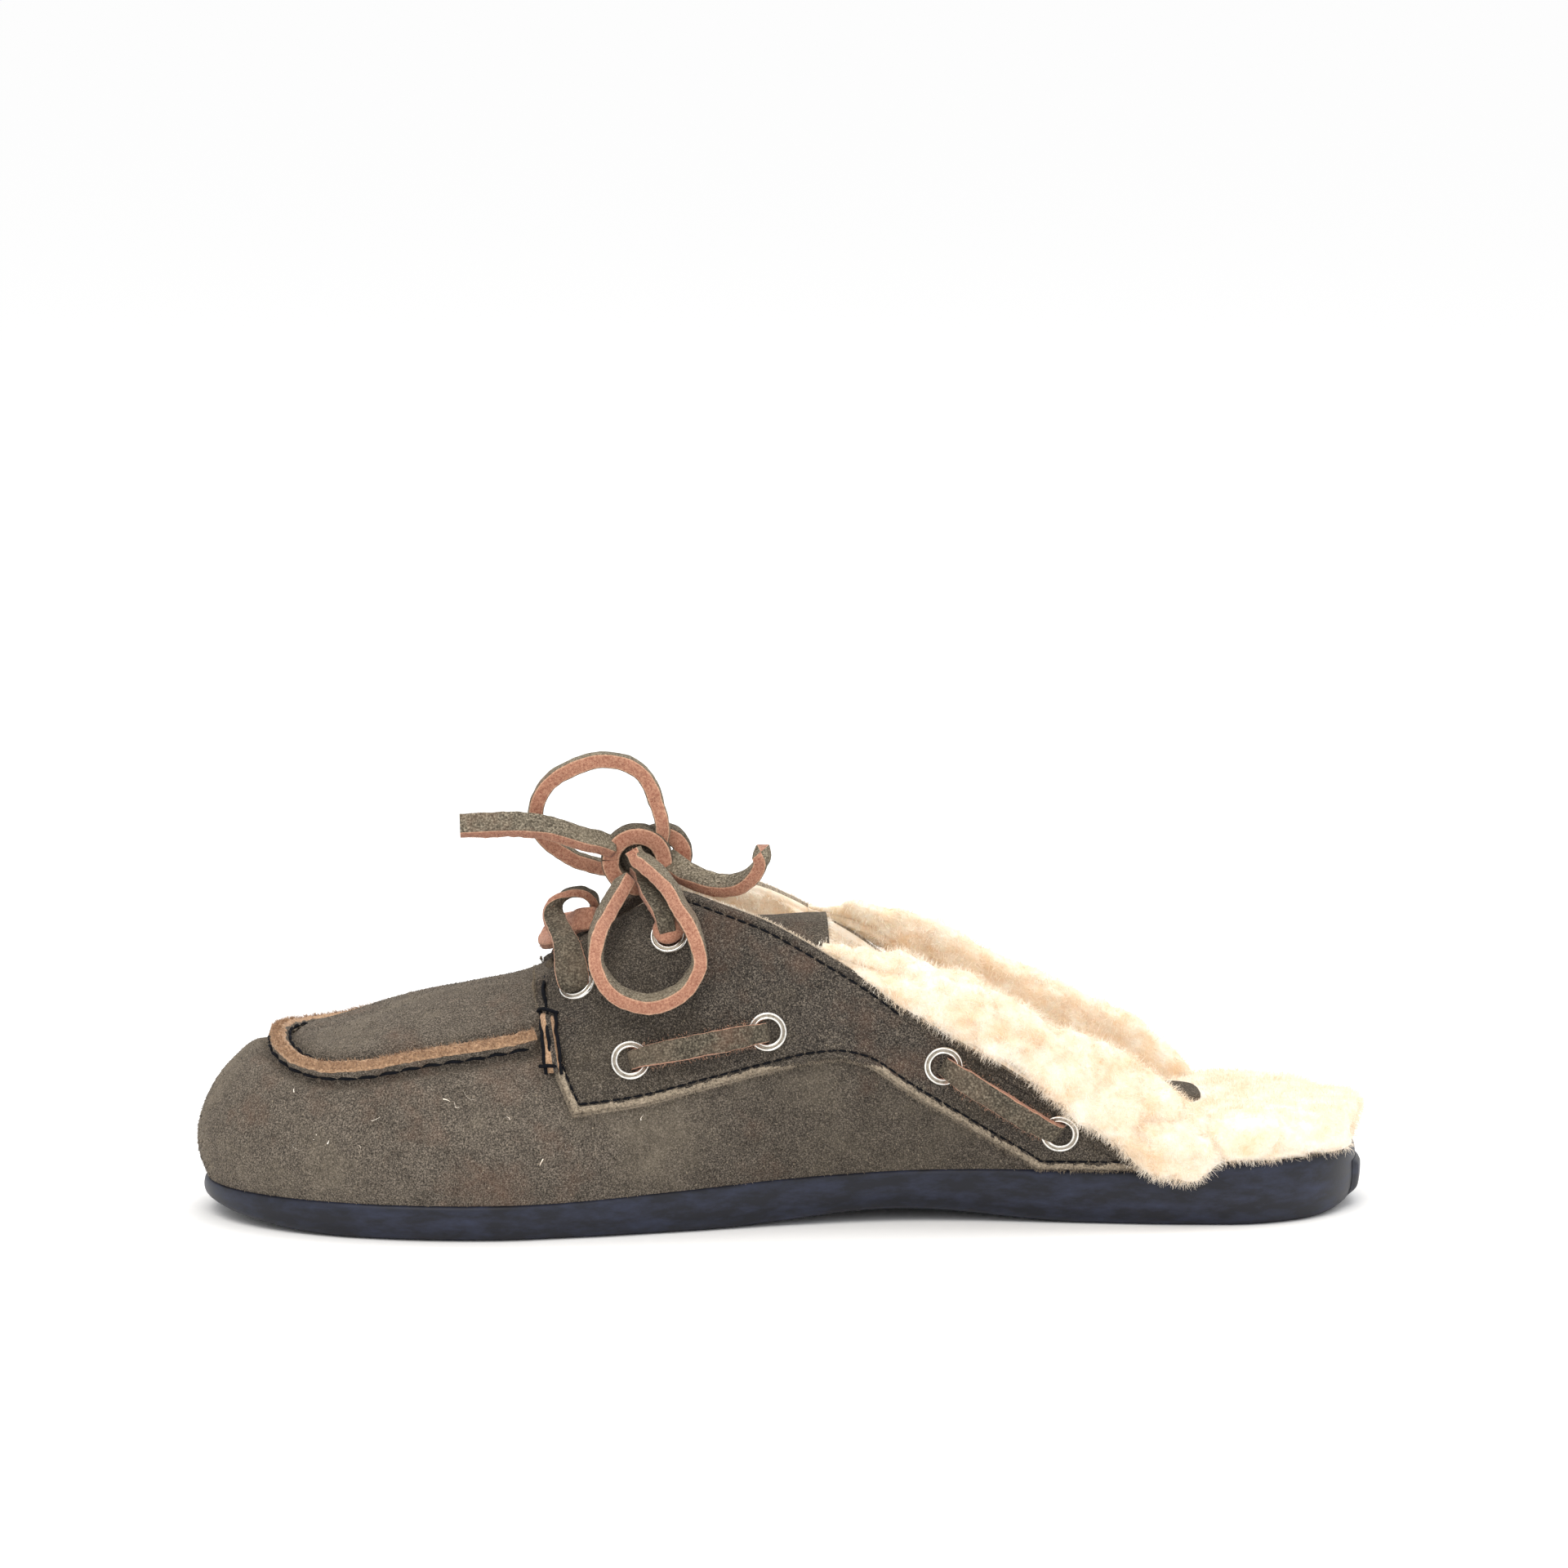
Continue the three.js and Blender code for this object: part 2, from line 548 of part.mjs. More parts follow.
// Levels of the sole, grown all round and at its top by a clearance
function soleLevels(grow) {
  return SOLE_SIDE.map((row) => ({
    inset: () => row.in * FOREFOOT_THICKNESS - grow,
    height: (side, at) => {
      const ground = groundLift(side, at);
      return ground + (soleTop(at) + grow - ground) * row.up;
    },
  }));
}

function heelTab() {
  const outer = slab(soleLevels(CLEARANCE + HEEL_TAB_THICKNESS));
  const inner = slab(soleLevels(CLEARANCE));
  const box = new THREE.BoxGeometry(HEEL_WIDTH / 2, HEEL_TAB_WIDTH, HEEL_TAB_HEIGHT);
  const middle = HEEL_SPRING + HEEL_TAB_HEIGHT / 2;
  box.translate(SOLE_LENGTH / 2, 0, middle);
  return largest(outer.subtract(inner).intersect(toSolid(box)));
}

// Last form of the upper

function spineStation(at) {
  if (at >= SPINE_JOIN) return at;
  return SPINE_START + (SPINE_JOIN - SPINE_START) * (at / SPINE_JOIN) ** SPINE_POWER;
}

// A point of the last form: side, station parameter and level from the feather line (0) to the crest (1)
function lastPoint(side, u, level) {
  const at = stationOf(u);
  const foot = insetOutline(side, u, FEATHER_INSET);
  const spineAt = spineStation(at);
  const spine = new THREE.Vector2(lengthwise(spineAt), crestShift(spineAt));
  const power = 2 / bluntness(spineAt);
  const angle = (level * Math.PI) / 2;
  const up = Math.sin(angle) ** power;
  const out = level >= 1 ? 0 : Math.cos(angle) ** power;
  const swell = 1 - (1 - Math.min(up / BELLY_TOP, 1)) ** 2;
  const toeBlend = Math.min(1, at / TOE_BLEND);
  const bellyHere = (bellies[side](at) * (1 + toeBlend) + bellies[-side](at) * (1 - toeBlend)) / 2;
  const reach = out * (1 + bellyHere * swell);
  const bottom = soleTop(at) + CLEARANCE;
  return new THREE.Vector3(
    spine.x + (foot.x - spine.x) * reach,
    spine.y + (foot.y - spine.y) * reach,
    bottom + (crest(spineAt) - bottom) * up,
  );
}

// Direction along the last form at a point, from toe to heel
function lengthwiseOn(side, u, level) {
  const before = u < STEP ? lastPoint(-side, STEP - u, level) : lastPoint(side, u - STEP, level);
  return lastPoint(side, u + STEP, level).sub(before);
}

// The last form moved out by a distance along its own normal (in if negative)
function formPoint(side, u, level, offset) {
  const point = lastPoint(side, u, level);
  if (offset === 0) return point;
  const alongIt = lengthwiseOn(side, u, level);
  const low = lastPoint(side, u, Math.max(0, level - STEP));
  const over = level + STEP > 1;
  const high = over ? lastPoint(-side, u, 2 - level - STEP) : lastPoint(side, u, level + STEP);
  const normal = high.sub(low).cross(alongIt).multiplyScalar(side).normalize();
  return point.addScaledVector(normal, offset);
}

const FORM_STATIONS = 25;
const FORM_LEVELS = 9;
const FORM_STEP = paramOf(UPPER_END) / FORM_STATIONS;

// Closed solid of the last form at an offset, carried down by a depth below the feather line
function form(offset, sink) {
  const skin = new Skin();
  const columns = [];
  for (let i = 0; i <= FORM_STATIONS; i += 1) {
    const u = i * FORM_STEP;
    const column = (side) => {
      const points = [];
      for (let k = 0; k <= FORM_LEVELS; k += 1) {
        const level = k / FORM_LEVELS;
        points.push(formPoint(side, u, level, offset));
      }
      if (sink > 0) points.unshift(points[0].clone().setZ(points[0].z - sink));
      return points;
    };
    const medial = column(MEDIAL);
    if (i === 0) medial.forEach((point) => point.setY(crestShift(SPINE_START)));
    const lateral = i === 0 ? medial.map((point) => point.clone()) : column(LATERAL);
    const top = medial.length - 1;
    const ridge = medial[top].clone().add(lateral[top]).multiplyScalar(0.5);
    medial[top] = ridge;
    lateral[top] = ridge;
    columns.push({ medial, lateral });
  }
  for (let i = 0; i + 1 < columns.length; i += 1) {
    skin.band(columns[i + 1].medial, columns[i].medial);
    skin.band(columns[i].lateral, columns[i + 1].lateral);
    const [near, far] = [columns[i], columns[i + 1]];
    skin.quad(near.medial[0], near.lateral[0], far.lateral[0], far.medial[0]);
  }
  const last = columns[columns.length - 1];
  skin.band(last.lateral, last.medial);
  return skin.solid();
}

// Place and outward normal on the form at a station and a height, for what is set into the quarters
function seat(side, at, height, offset) {
  const u = paramOf(at);
  const bottom = soleTop(at) + CLEARANCE;
  const up = (height - bottom) / (crest(at) - bottom);
  const level = (Math.asin(Math.min(1, up ** (bluntness(at) / 2))) * 2) / Math.PI;
  const point = formPoint(side, u, level, offset);
  const normal = formPoint(side, u, level, offset + 1).sub(point).normalize();
  return { point, normal };
}

// Everything above the topline, lifted by a distance
function aboveTopline(lift) {
  const first = TOPLINE[0].at;
  const last = TOPLINE[TOPLINE.length - 1].at;
  const points = [];
  for (let i = 0; i <= TOPLINE_STEPS; i += 1) {
    const at = first + ((last - first) * i) / TOPLINE_STEPS;
    points.push(new THREE.Vector2(lengthwise(at), topline(at) + lift));
  }
  const ceiling = 2 * INSTEP_HEIGHT;
  points.push(new THREE.Vector2(lengthwise(last), ceiling));
  points.push(new THREE.Vector2(lengthwise(first), ceiling));
  return sidePrism(points);
}

// Everything that the saddle covers, seen from the side
function saddleReach() {
  const rows = SADDLE_EDGE.map((row) => new THREE.Vector2(lengthwise(row.at), sized(row)));
  const front = rows.slice(0, SADDLE_CORNER + 1);
  const lower = new THREE.SplineCurve(rows.slice(SADDLE_CORNER)).getPoints(SADDLE_STEPS).slice(1);
  const ceiling = 2 * INSTEP_HEIGHT;
  const back = lengthwise(1);
  const corners = [
    new THREE.Vector2(lengthwise(SADDLE_HEEL), 0),
    new THREE.Vector2(back, 0),
    new THREE.Vector2(back, ceiling),
    new THREE.Vector2(front[0].x, ceiling),
  ];
  return sidePrism([...front, ...lower, ...corners]);
}

// One side of the shoe, from the gap between the saddles outwards
function halfSpace(side) {
  const size = 2 * SOLE_LENGTH;
  const box = new THREE.BoxGeometry(size, size, size);
  box.translate(0, crestShift(SADDLE_EDGE[0].at) + (side * (size + SADDLE_GAP)) / 2, 0);
  return toSolid(box);
}

// Turns +Z to a direction
function aim(geometry, point, normal) {
  const turn = new THREE.Quaternion().setFromUnitVectors(new THREE.Vector3(0, 0, 1), normal);
  geometry.applyQuaternion(turn);
  geometry.translate(point.x, point.y, point.z);
  return geometry;
}

function eyeletSeat(side, row) {
  return seat(side, row.at, sized(row), EYELET_SEAT);
}

// Room for an eyelet: its hole through the leather, or the space round its flange
function eyeletRoom(side, row, radius) {
  const { point, normal } = eyeletSeat(side, row);
  const depth = 3 * (UPPER_WALL + SADDLE_THICKNESS);
  const corner = radius / Math.cos(Math.PI / HOLE_SIDES);
  const hole = new THREE.CylinderGeometry(corner, corner, depth, HOLE_SIDES);
  hole.rotateX(Math.PI / 2);
  return toSolid(aim(hole, point, normal));
}

function eyelet(side, row) {
  const { point, normal } = eyeletSeat(side, row);
  const bore = EYELET_BORE / 2;
  const rim = EYELET_DIAMETER / 2;
  const depth = SADDLE_THICKNESS + UPPER_WALL + CLEARANCE;
  const profile = [
    new THREE.Vector2(bore, -depth),
    new THREE.Vector2(bore + BARREL_WALL, -depth),
    new THREE.Vector2(bore + BARREL_WALL, 0),
    new THREE.Vector2(rim, 0),
    new THREE.Vector2(rim - EYELET_RIM / 2, EYELET_RIM),
    new THREE.Vector2(bore + BARREL_WALL / 2, EYELET_RIM),
    new THREE.Vector2(bore, -depth),
  ];
  const ring = new THREE.LatheGeometry(profile, EYELET_SIDES);
  ring.rotateX(Math.PI / 2);
  return toSolid(aim(ring, point, normal));
}

// Flat strip along a route, its width along the direction given for each point
function strip(route, acrosses, wide, thick) {
  const skin = new Skin();
  const rings = route.map((point, i) => {
    const next = route[Math.min(i + 1, route.length - 1)];
    const previous = route[Math.max(i - 1, 0)];
    const forward = next.clone().sub(previous).normalize();
    const across = acrosses[i].clone().projectOnPlane(forward).normalize();
    const up = across.clone().cross(forward);
    const corner = (a, b) => point.clone()
      .addScaledVector(across, (a * wide) / 2)
      .addScaledVector(up, (b * thick) / 2);
    return [corner(-1, -1), corner(1, -1), corner(1, 1), corner(-1, 1)];
  });
  skin.tube(rings);
  return skin.solid();
}

function smoothRoute(points, steps) {
  return new THREE.CatmullRomCurve3(points, false, 'centripetal').getSpacedPoints(steps);
}

// Lace bar between two eyelets of one side: out of the first, along the saddle and into the second
function laceBar(side, from, to) {
  const places = Array.from({ length: BAR_STEPS + 1 }, (_, i) => {
    const at = from.at + ((to.at - from.at) * i) / BAR_STEPS;
    const height = sized(from) + ((sized(to) - sized(from)) * i) / BAR_STEPS;
    return seat(side, at, height, EYELET_SEAT);
  });
  const raised = (place, up) => place.point.clone().addScaledVector(place.normal, up);
  const first = places[0];
  const last = places[BAR_STEPS];
  const route = [
    raised(first, -SADDLE_THICKNESS),
    ...places.map((place) => raised(place, LACE_LIFT)),
    raised(last, -SADDLE_THICKNESS),
  ];
  const run = last.point.clone().sub(first.point);
  const acrosses = [first, ...places, last].map((place) => run.clone().cross(place.normal));
  return strip(route, acrosses, LACE_IN_BORE, BAR_THICKNESS);
}

// Strap along a route, its width along a direction that turns from the first to the last one given
function strap(points, acrossStart, acrossEnd, wide, thick, steps) {
  const route = smoothRoute(points.map((point) => new THREE.Vector3(...point)), steps);
  const from = new THREE.Vector3(...acrossStart);
  const to = new THREE.Vector3(...acrossEnd);
  return strip(route, route.map((_, i) => from.clone().lerp(to, i / steps)), wide, thick);
}

// Ring of wrapped lace with its axis along Y
function wrap(middle, radius, hollow, deep) {
  const profile = [
    new THREE.Vector2(hollow, -deep / 2),
    new THREE.Vector2(radius, -deep / 2),
    new THREE.Vector2(radius, deep / 2),
    new THREE.Vector2(hollow, deep / 2),
    new THREE.Vector2(hollow, -deep / 2),
  ];
  const ring = new THREE.LatheGeometry(profile, WRAP_SIDES);
  ring.translate(...middle);
  return toSolid(ring);
}

// Lace that runs along a route and then straight down into an eyelet
function lacedStrand(side, row, points, acrosses, steps) {
  const { point, normal } = eyeletSeat(side, row);
  const raised = (up) => point.clone().addScaledVector(normal, up);
  const run = smoothRoute([...points.map((place) => new THREE.Vector3(...place)), raised(LACE_LIFT)], steps);
  const [from, to] = acrosses.map((across) => new THREE.Vector3(...across));
  const widths = run.map((_, i) => from.clone().lerp(to, i / steps));
  return strip([...run, raised(-SADDLE_THICKNESS)], [...widths, to], LACE_IN_BORE, BAR_THICKNESS);
}

// Knot: two wraps round a core, with a leg down to the rear throat eyelet of each side
function laceKnot() {
  const core = new THREE.IcosahedronGeometry(KNOT_HOLLOW + CORE_GROWTH, 1);
  core.scale(1, CORE_FLATNESS, 1);
  core.translate(KNOT_MIDDLE[0], KNOT_MIDDLE[1] + CORE_SHIFT, KNOT_MIDDLE[2]);
  const legs = [MEDIAL, LATERAL].map((side) => {
    const start = KNOT_LEG_START.map(([x, out, z]) => [x, crestShift(THROAT_REAR.at) + side * out, z]);
    const over = KNOT_LEG.map((place) => {
      const { point, normal } = seat(side, place.at, sized(place), EYELET_SEAT);
      return point.addScaledVector(normal, place.lift).toArray();
    });
    const points = [...start, ...over];
    return lacedStrand(side, THROAT_REAR, points, [[1, 0, 0], [1, 0, 0]], LEG_STEPS);
  });
  const rings = [
    wrap(KNOT_MIDDLE, KNOT_RADIUS, KNOT_HOLLOW, LACE_WIDTH),
    wrap(SECOND_WRAP_MIDDLE, SECOND_WRAP_RADIUS, KNOT_HOLLOW / 2, SECOND_WRAP_WIDTH),
  ];
  return wasm.Manifold.union([...rings, toSolid(core), ...legs]);
}

// The two strands that cross over the front of the throat
function laceCrossing() {
  const strand = (side, points) => {
    const route = points.map(([x, y, share]) => [x, y, share * INSTEP_HEIGHT]);
    return lacedStrand(side, THROAT_FRONT, route, [[1, 0, -0.2], [1, 0, 0.2]], CROSSING_STEPS);
  };
  return strand(MEDIAL, CROSSING_MEDIAL).add(strand(LATERAL, CROSSING_LATERAL));
}

// Tongue: a bowed strip under the throat
function tongue() {
  const start = TONGUE_LINE[0].at;
  const end = TONGUE_LINE[TONGUE_LINE.length - 1].at;
  const skin = new Skin();
  const faces = Array.from({ length: TONGUE_STATIONS + 1 }, (_, i) => {
    const at = start + ((end - start) * i) / TONGUE_STATIONS;
    const bow = tongueBow(at);
    const row = (below) => Array.from({ length: TONGUE_STRIPS + 1 }, (__, k) => {
      const share = (k / TONGUE_STRIPS) * 2 - 1;
      const y = crestShift(at) + (share * TONGUE_WIDTH) / 2;
      return new THREE.Vector3(lengthwise(at), y, tongueLine(at) - bow * share * share - below);
    });
    return { top: row(0), bottom: row(TONGUE_THICKNESS) };
  });
  const last = TONGUE_STRIPS;
  for (let i = 0; i < TONGUE_STATIONS; i += 1) {
    const [here, next] = [faces[i], faces[i + 1]];
    skin.band(here.top, next.top);
    skin.band(next.bottom, here.bottom);
    skin.quad(here.bottom[0], here.top[0], next.top[0], next.bottom[0]);
    skin.quad(here.top[last], here.bottom[last], next.bottom[last], next.top[last]);
  }
  skin.band(faces[0].bottom, faces[0].top);
  skin.band(faces[TONGUE_STATIONS].top, faces[TONGUE_STATIONS].bottom);
  return skin.solid();
}

// Raised seam of the apron, on the form's own stations so that its facets follow those of the wall
function mocSeam() {
  const end = paramOf(SEAM_PATH[SEAM_PATH.length - 1].at);
  const ring = (side, u) => {
    const at = stationOf(u);
    const out = seamOut[side](at);
    const power = bluntness(spineStation(at)) / 2;
    const swell = 1 + bellies[side](at);
    const level = (Math.acos((out / swell) ** power) * 2) / Math.PI;
    const base = formPoint(side, u, level, CLEARANCE);
    const top = formPoint(side, u, level, CLEARANCE + SEAM_HEIGHT);
    const up = top.clone().sub(base).normalize();
    const forward = lengthwiseOn(side, u, level).multiplyScalar(side).normalize();
    const sideways = up.clone().cross(forward).normalize();
    const corner = (a, height) => base.clone()
      .addScaledVector(sideways, a * SEAM_WIDTH)
      .addScaledVector(up, height * SEAM_HEIGHT);
    return SEAM_SECTION.map(([a, height]) => corner(a, height));
  };
  const count = Math.floor(end / FORM_STEP);
  const rings = (side) => {
    const row = Array.from({ length: count + 2 }, (_, i) => ring(side, i * FORM_STEP));
    row[count + 1].forEach((point, i) => point.lerp(row[count][i], count + 1 - end / FORM_STEP));
    return row;
  };
  const medial = rings(MEDIAL).slice(1).reverse();
  const lateral = rings(LATERAL);
  const skin = new Skin();
  skin.tube([...medial, ...lateral]);
  return skin.solid();
}

// Footbed with its pile

// How far the pile is free of the upper, along the sole
const PILE_REACH = [
  { at: 0.82, free: 0 },
  { at: 0.9, free: 1 },
  { at: 1, free: 1 },
];

// Side of the pile: how far it lies in, as a share of its depth, and how far up
const PILE_SIDE = [
  { in: 0.318, up: 0 },
  { in: 0.064, up: 0.2 },
  { in: 0.018, up: 0.6 },
  { in: 0.273, up: 0.9 },
  { in: 1.09, up: 1 },
];

// Locks round the heel end of the pile: how many a side and from where, their half sizes and their
// place as shares of the pile's depth, how much size, place and lie vary, and by what turns
const LOCKS = {
  count: 6,
  from: 0.895,
  length: 0.418,
  thickness: 0.282,
  height: 0.382,
  in: 0.236,
  up: 0.52,
  vary: 0.12,
  lie: 1.2,
  turn: 1.7,
  placeTurn: 2.4,
};

// Levels of the pile, grown all round and at its top by a clearance
function pileLevels(grow) {
  const inShoe = UPPER_WALL + FEATHER_INSET + 2 * CLEARANCE;
  const free = along(PILE_REACH, (row) => inShoe * (1 - row.free) - PILE_OVERHANG * row.free);
  return PILE_SIDE.map((row) => ({
    inset: (at) => free(at) + row.in * PILE_DEPTH - grow,
    height: (side, at) => soleTop(at) + CLEARANCE + (PILE_DEPTH + grow) * row.up,
  }));
}

// One lock of pile, a ball drawn out along a direction
function lock(point, direction, size) {
  const ball = new THREE.IcosahedronGeometry(1, 1);
  ball.scale(...size);
  const turn = new THREE.Quaternion().setFromUnitVectors(new THREE.Vector3(1, 0, 0), direction);
  ball.applyQuaternion(turn);
  ball.translate(point.x, point.y, point.z);
  return toSolid(ball);
}

// Footbed, grown all round and at its top by a clearance
function insole(grow) {
  const first = paramOf(LOCKS.from);
  const inset = LOCKS.in * PILE_DEPTH - PILE_OVERHANG;
  const locks = [];
  for (const side of [MEDIAL, LATERAL]) {
    for (let i = 0; i < LOCKS.count; i += 1) {
      const u = first + ((1 - first) * (i + 0.5)) / LOCKS.count;
      const plan = insetOutline(side, u, inset);
      const next = insetOutline(side, u + STEP, inset).sub(plan).normalize();
      const up = LOCKS.up + LOCKS.vary * Math.sin(i * LOCKS.placeTurn + side);
      const place = new THREE.Vector3(plan.x, plan.y, soleTop(stationOf(u)) + CLEARANCE + PILE_DEPTH * up);
      const direction = new THREE.Vector3(next.x, next.y, LOCKS.lie * Math.cos(i * LOCKS.turn)).normalize();
      const tall = LOCKS.height * (1 + LOCKS.vary * Math.sin(i * LOCKS.turn));
      const size = [LOCKS.length, LOCKS.thickness, tall].map((share) => share * PILE_DEPTH + grow);
      locks.push(lock(place, direction, size));
    }
  }
  return wasm.Manifold.union([slab(pileLevels(grow)), ...locks]);
}

const PATCH_AT = 0.802;
const PATCH_POINTS = 20;
const PATCH_ROUNDNESS = 0.6;

function insolePatch() {
  const blunt = (value) => Math.sign(value) * Math.abs(value) ** PATCH_ROUNDNESS;
  const ring = (z) => Array.from({ length: PATCH_POINTS }, (_, i) => {
    const angle = (i / PATCH_POINTS) * Math.PI * 2;
    const x = lengthwise(PATCH_AT) + (blunt(Math.cos(angle)) * PATCH_LENGTH) / 2;
    return new THREE.Vector3(x, (blunt(Math.sin(angle)) * PATCH_WIDTH) / 2, z);
  });
  const heelEnd = PATCH_AT + PATCH_LENGTH / SOLE_LENGTH / 2;
  const bottom = soleTop(heelEnd) + CLEARANCE + PILE_DEPTH + CLEARANCE;
  const skin = new Skin();
  skin.tube([ring(bottom), ring(bottom + PATCH_THICKNESS)]);
  return skin.solid();
}

// Shearling roll: how it is divided, how far it leans in and lies over the inside, its waviness
const ROLL = { stations: 20, around: 8, lean: 0.35, in: 0.1, wave: 0.09, turnAlong: 1.9, turnRound: 2.3 };

// Shearling roll along one collar edge
function cuffRoll(side) {
  const start = CUFF[0].at;
  const end = CUFF[CUFF.length - 1].at;
  const skin = new Skin();
  const rings = [];
  for (let i = 0; i <= ROLL.stations; i += 1) {
    const at = start + ((end - start) * i) / ROLL.stations;
    const low = cuffLow(at);
    const high = cuffHigh[side](at);
    const edge = seat(side, at, Math.max(topline(at), soleTop(at) + UPPER_WALL), 0).point;
    const half = cuffDepth(at) / 2;
    const middleY = edge.y - side * ROLL.in * CUFF_DEPTH;
    rings.push(Array.from({ length: ROLL.around }, (_, k) => {
      const angle = (k / ROLL.around) * Math.PI * 2;
      const wave = 1 + ROLL.wave * Math.sin(i * ROLL.turnAlong + k * ROLL.turnRound + side);
      const up = Math.sin(angle) * ((high - low) / 2) * wave;
      const out = Math.cos(angle) * half * wave;
      return new THREE.Vector3(edge.x, middleY + side * (out - ROLL.lean * up), (low + high) / 2 + up);
    }));
  }
  skin.tube(rings);
  return skin.solid();
}

// Assembly

const SIDES = [MEDIAL, LATERAL];
const shellDepth = 2 * UPPER_WALL;
const outer = form(0, 0);
const inner = form(-UPPER_WALL, shellDepth);
const overTop = aboveTopline(0);
const holeRadius = EYELET_BORE / 2 + BARREL_WALL + CLEARANCE;
const eyeletHoles = SIDES.flatMap((side) => EYELETS.map((row) => eyeletRoom(side, row, holeRadius)));
const holes = wasm.Manifold.union(eyeletHoles);
const saddleOuter = form(CLEARANCE + SADDLE_THICKNESS, 0);
const saddleInner = form(CLEARANCE, shellDepth);
const soleRoom = slab(soleLevels(CLEARANCE));
const saddleSkin = saddleOuter.subtract(saddleInner).subtract(overTop).subtract(soleRoom);
const saddles = saddleSkin.intersect(saddleReach()).subtract(holes);

// Space that the shearling rolls leave to what they lie round
const wallOuter = form(2 * CLEARANCE + SADDLE_THICKNESS, shellDepth);
const wallInner = form(-UPPER_WALL - CLEARANCE, 2 * shellDepth);
const walls = wallOuter.subtract(wallInner).subtract(aboveTopline(2 * CLEARANCE));
const flangeRadius = EYELET_DIAMETER / 2 + CLEARANCE;
const { from, to } = LACE_BARS[LACE_BARS.length - 1];
const flanges = SIDES.flatMap((side) => [from, to].map((row) => eyeletRoom(side, row, flangeRadius)));
const sunkFootbed = insole(CLEARANCE).translate([0, 0, -2 * CLEARANCE]);
const cuffRoom = wasm.Manifold.union([walls, soleRoom, insole(2 * CLEARANCE), sunkFootbed, ...flanges]);

const suede = { color: 0x4a4438, roughness: 0.95, metalness: 0 };
const darkSuede = { color: 0x3d3930, roughness: 0.95, metalness: 0 };
const rubber = { color: 0x14161c, roughness: 0.45, metalness: 0 };
const wool = { color: 0xf0dfc4, roughness: 1, metalness: 0 };
const rawLeather = { color: 0xb0805c, roughness: 0.85, metalness: 0 };
const nickel = { color: 0xc9c9c6, roughness: 0.25, metalness: 1 };

const shoe = new THREE.Group();

function add(name, solid, look) {
  const mesh = new THREE.Mesh(toGeometry(solid), new THREE.MeshStandardMaterial(look));
  mesh.name = name;
  shoe.add(mesh);
  return mesh;
}

add('outsole', slab(soleLevels(0)), rubber);
add('heel_tab', heelTab(), rubber);
add('insole', insole(0), wool);
add('insole_patch', insolePatch(), darkSuede);
add('upper', outer.subtract(inner).subtract(overTop).subtract(holes), suede);
add('moc_seam', mocSeam(), rawLeather);
add('tongue', tongue(), darkSuede);
for (const [side, name] of [[MEDIAL, 'medial'], [LATERAL, 'lateral']]) {
  add(`saddle_${name}`, saddles.intersect(halfSpace(side)), darkSuede);
  EYELETS.forEach((row) => add(`eyelet_${name}_${row.name}`, eyelet(side, row), nickel));
  LACE_BARS.forEach((bar) => {
    add(`lace_bar_${name}_${bar.name}`, laceBar(side, bar.from, bar.to), rawLeather);
  });
  add(`shearling_cuff_${name}`, largest(cuffRoll(side).subtract(cuffRoom)), wool);
}

add('lace_crossing', laceCrossing(), rawLeather);

// The shoe without its bow stands centred over the origin
const stand = new THREE.Box3().setFromObject(shoe);
const middle = stand.getCenter(new THREE.Vector3());
shoe.position.set(-middle.x, -middle.y, -stand.min.z);

function freeLace(name, { points, across, steps }) {
  add(name, strap(points, across[0], across[1], LACE_WIDTH, LACE_THICKNESS, steps), rawLeather);
}

add('lace_knot', laceKnot(), rawLeather);
freeLace('lace_loop_upper', LOOP_UPPER);
freeLace('lace_loop_lower', LOOP_LOWER);
freeLace('lace_end_left', END_LEFT);
freeLace('lace_end_right', END_RIGHT);

export default shoe;
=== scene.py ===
"""Looks of a shearling-lined boat-shoe mule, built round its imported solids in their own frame.

Millimetres inside the shape code, metres in Blender. The toe points to -X and the inner side to -Y.
"""

import enum
import logging
import math
from dataclasses import dataclass, field
from typing import Callable, Sequence

import bpy
import numpy as np
from mathutils import Matrix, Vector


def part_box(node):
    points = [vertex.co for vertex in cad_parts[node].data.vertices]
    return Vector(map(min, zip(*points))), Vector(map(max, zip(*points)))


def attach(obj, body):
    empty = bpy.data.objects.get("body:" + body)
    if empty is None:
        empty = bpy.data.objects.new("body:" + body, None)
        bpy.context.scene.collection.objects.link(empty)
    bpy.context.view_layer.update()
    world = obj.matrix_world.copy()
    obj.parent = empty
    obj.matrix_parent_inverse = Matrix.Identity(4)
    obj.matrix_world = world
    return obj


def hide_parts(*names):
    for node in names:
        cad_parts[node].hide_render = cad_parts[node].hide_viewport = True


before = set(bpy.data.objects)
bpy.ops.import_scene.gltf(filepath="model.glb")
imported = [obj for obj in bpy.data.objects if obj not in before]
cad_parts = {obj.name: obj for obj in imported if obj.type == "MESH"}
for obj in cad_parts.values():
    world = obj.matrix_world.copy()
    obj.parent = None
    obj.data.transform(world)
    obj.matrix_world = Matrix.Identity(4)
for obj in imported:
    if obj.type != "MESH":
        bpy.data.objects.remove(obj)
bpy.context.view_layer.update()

LOG = logging.getLogger("mule")
MM = 0.001
STEP = 0.003
CLEARANCE = 0.3
PATCH_STATION = 0.802
Array = np.ndarray
Curve = Callable[[Array], Array]


class Side(enum.IntEnum):
    """Side of the shoe, as the sign of Y."""

    MEDIAL = -1
    LATERAL = 1


# Shape tables


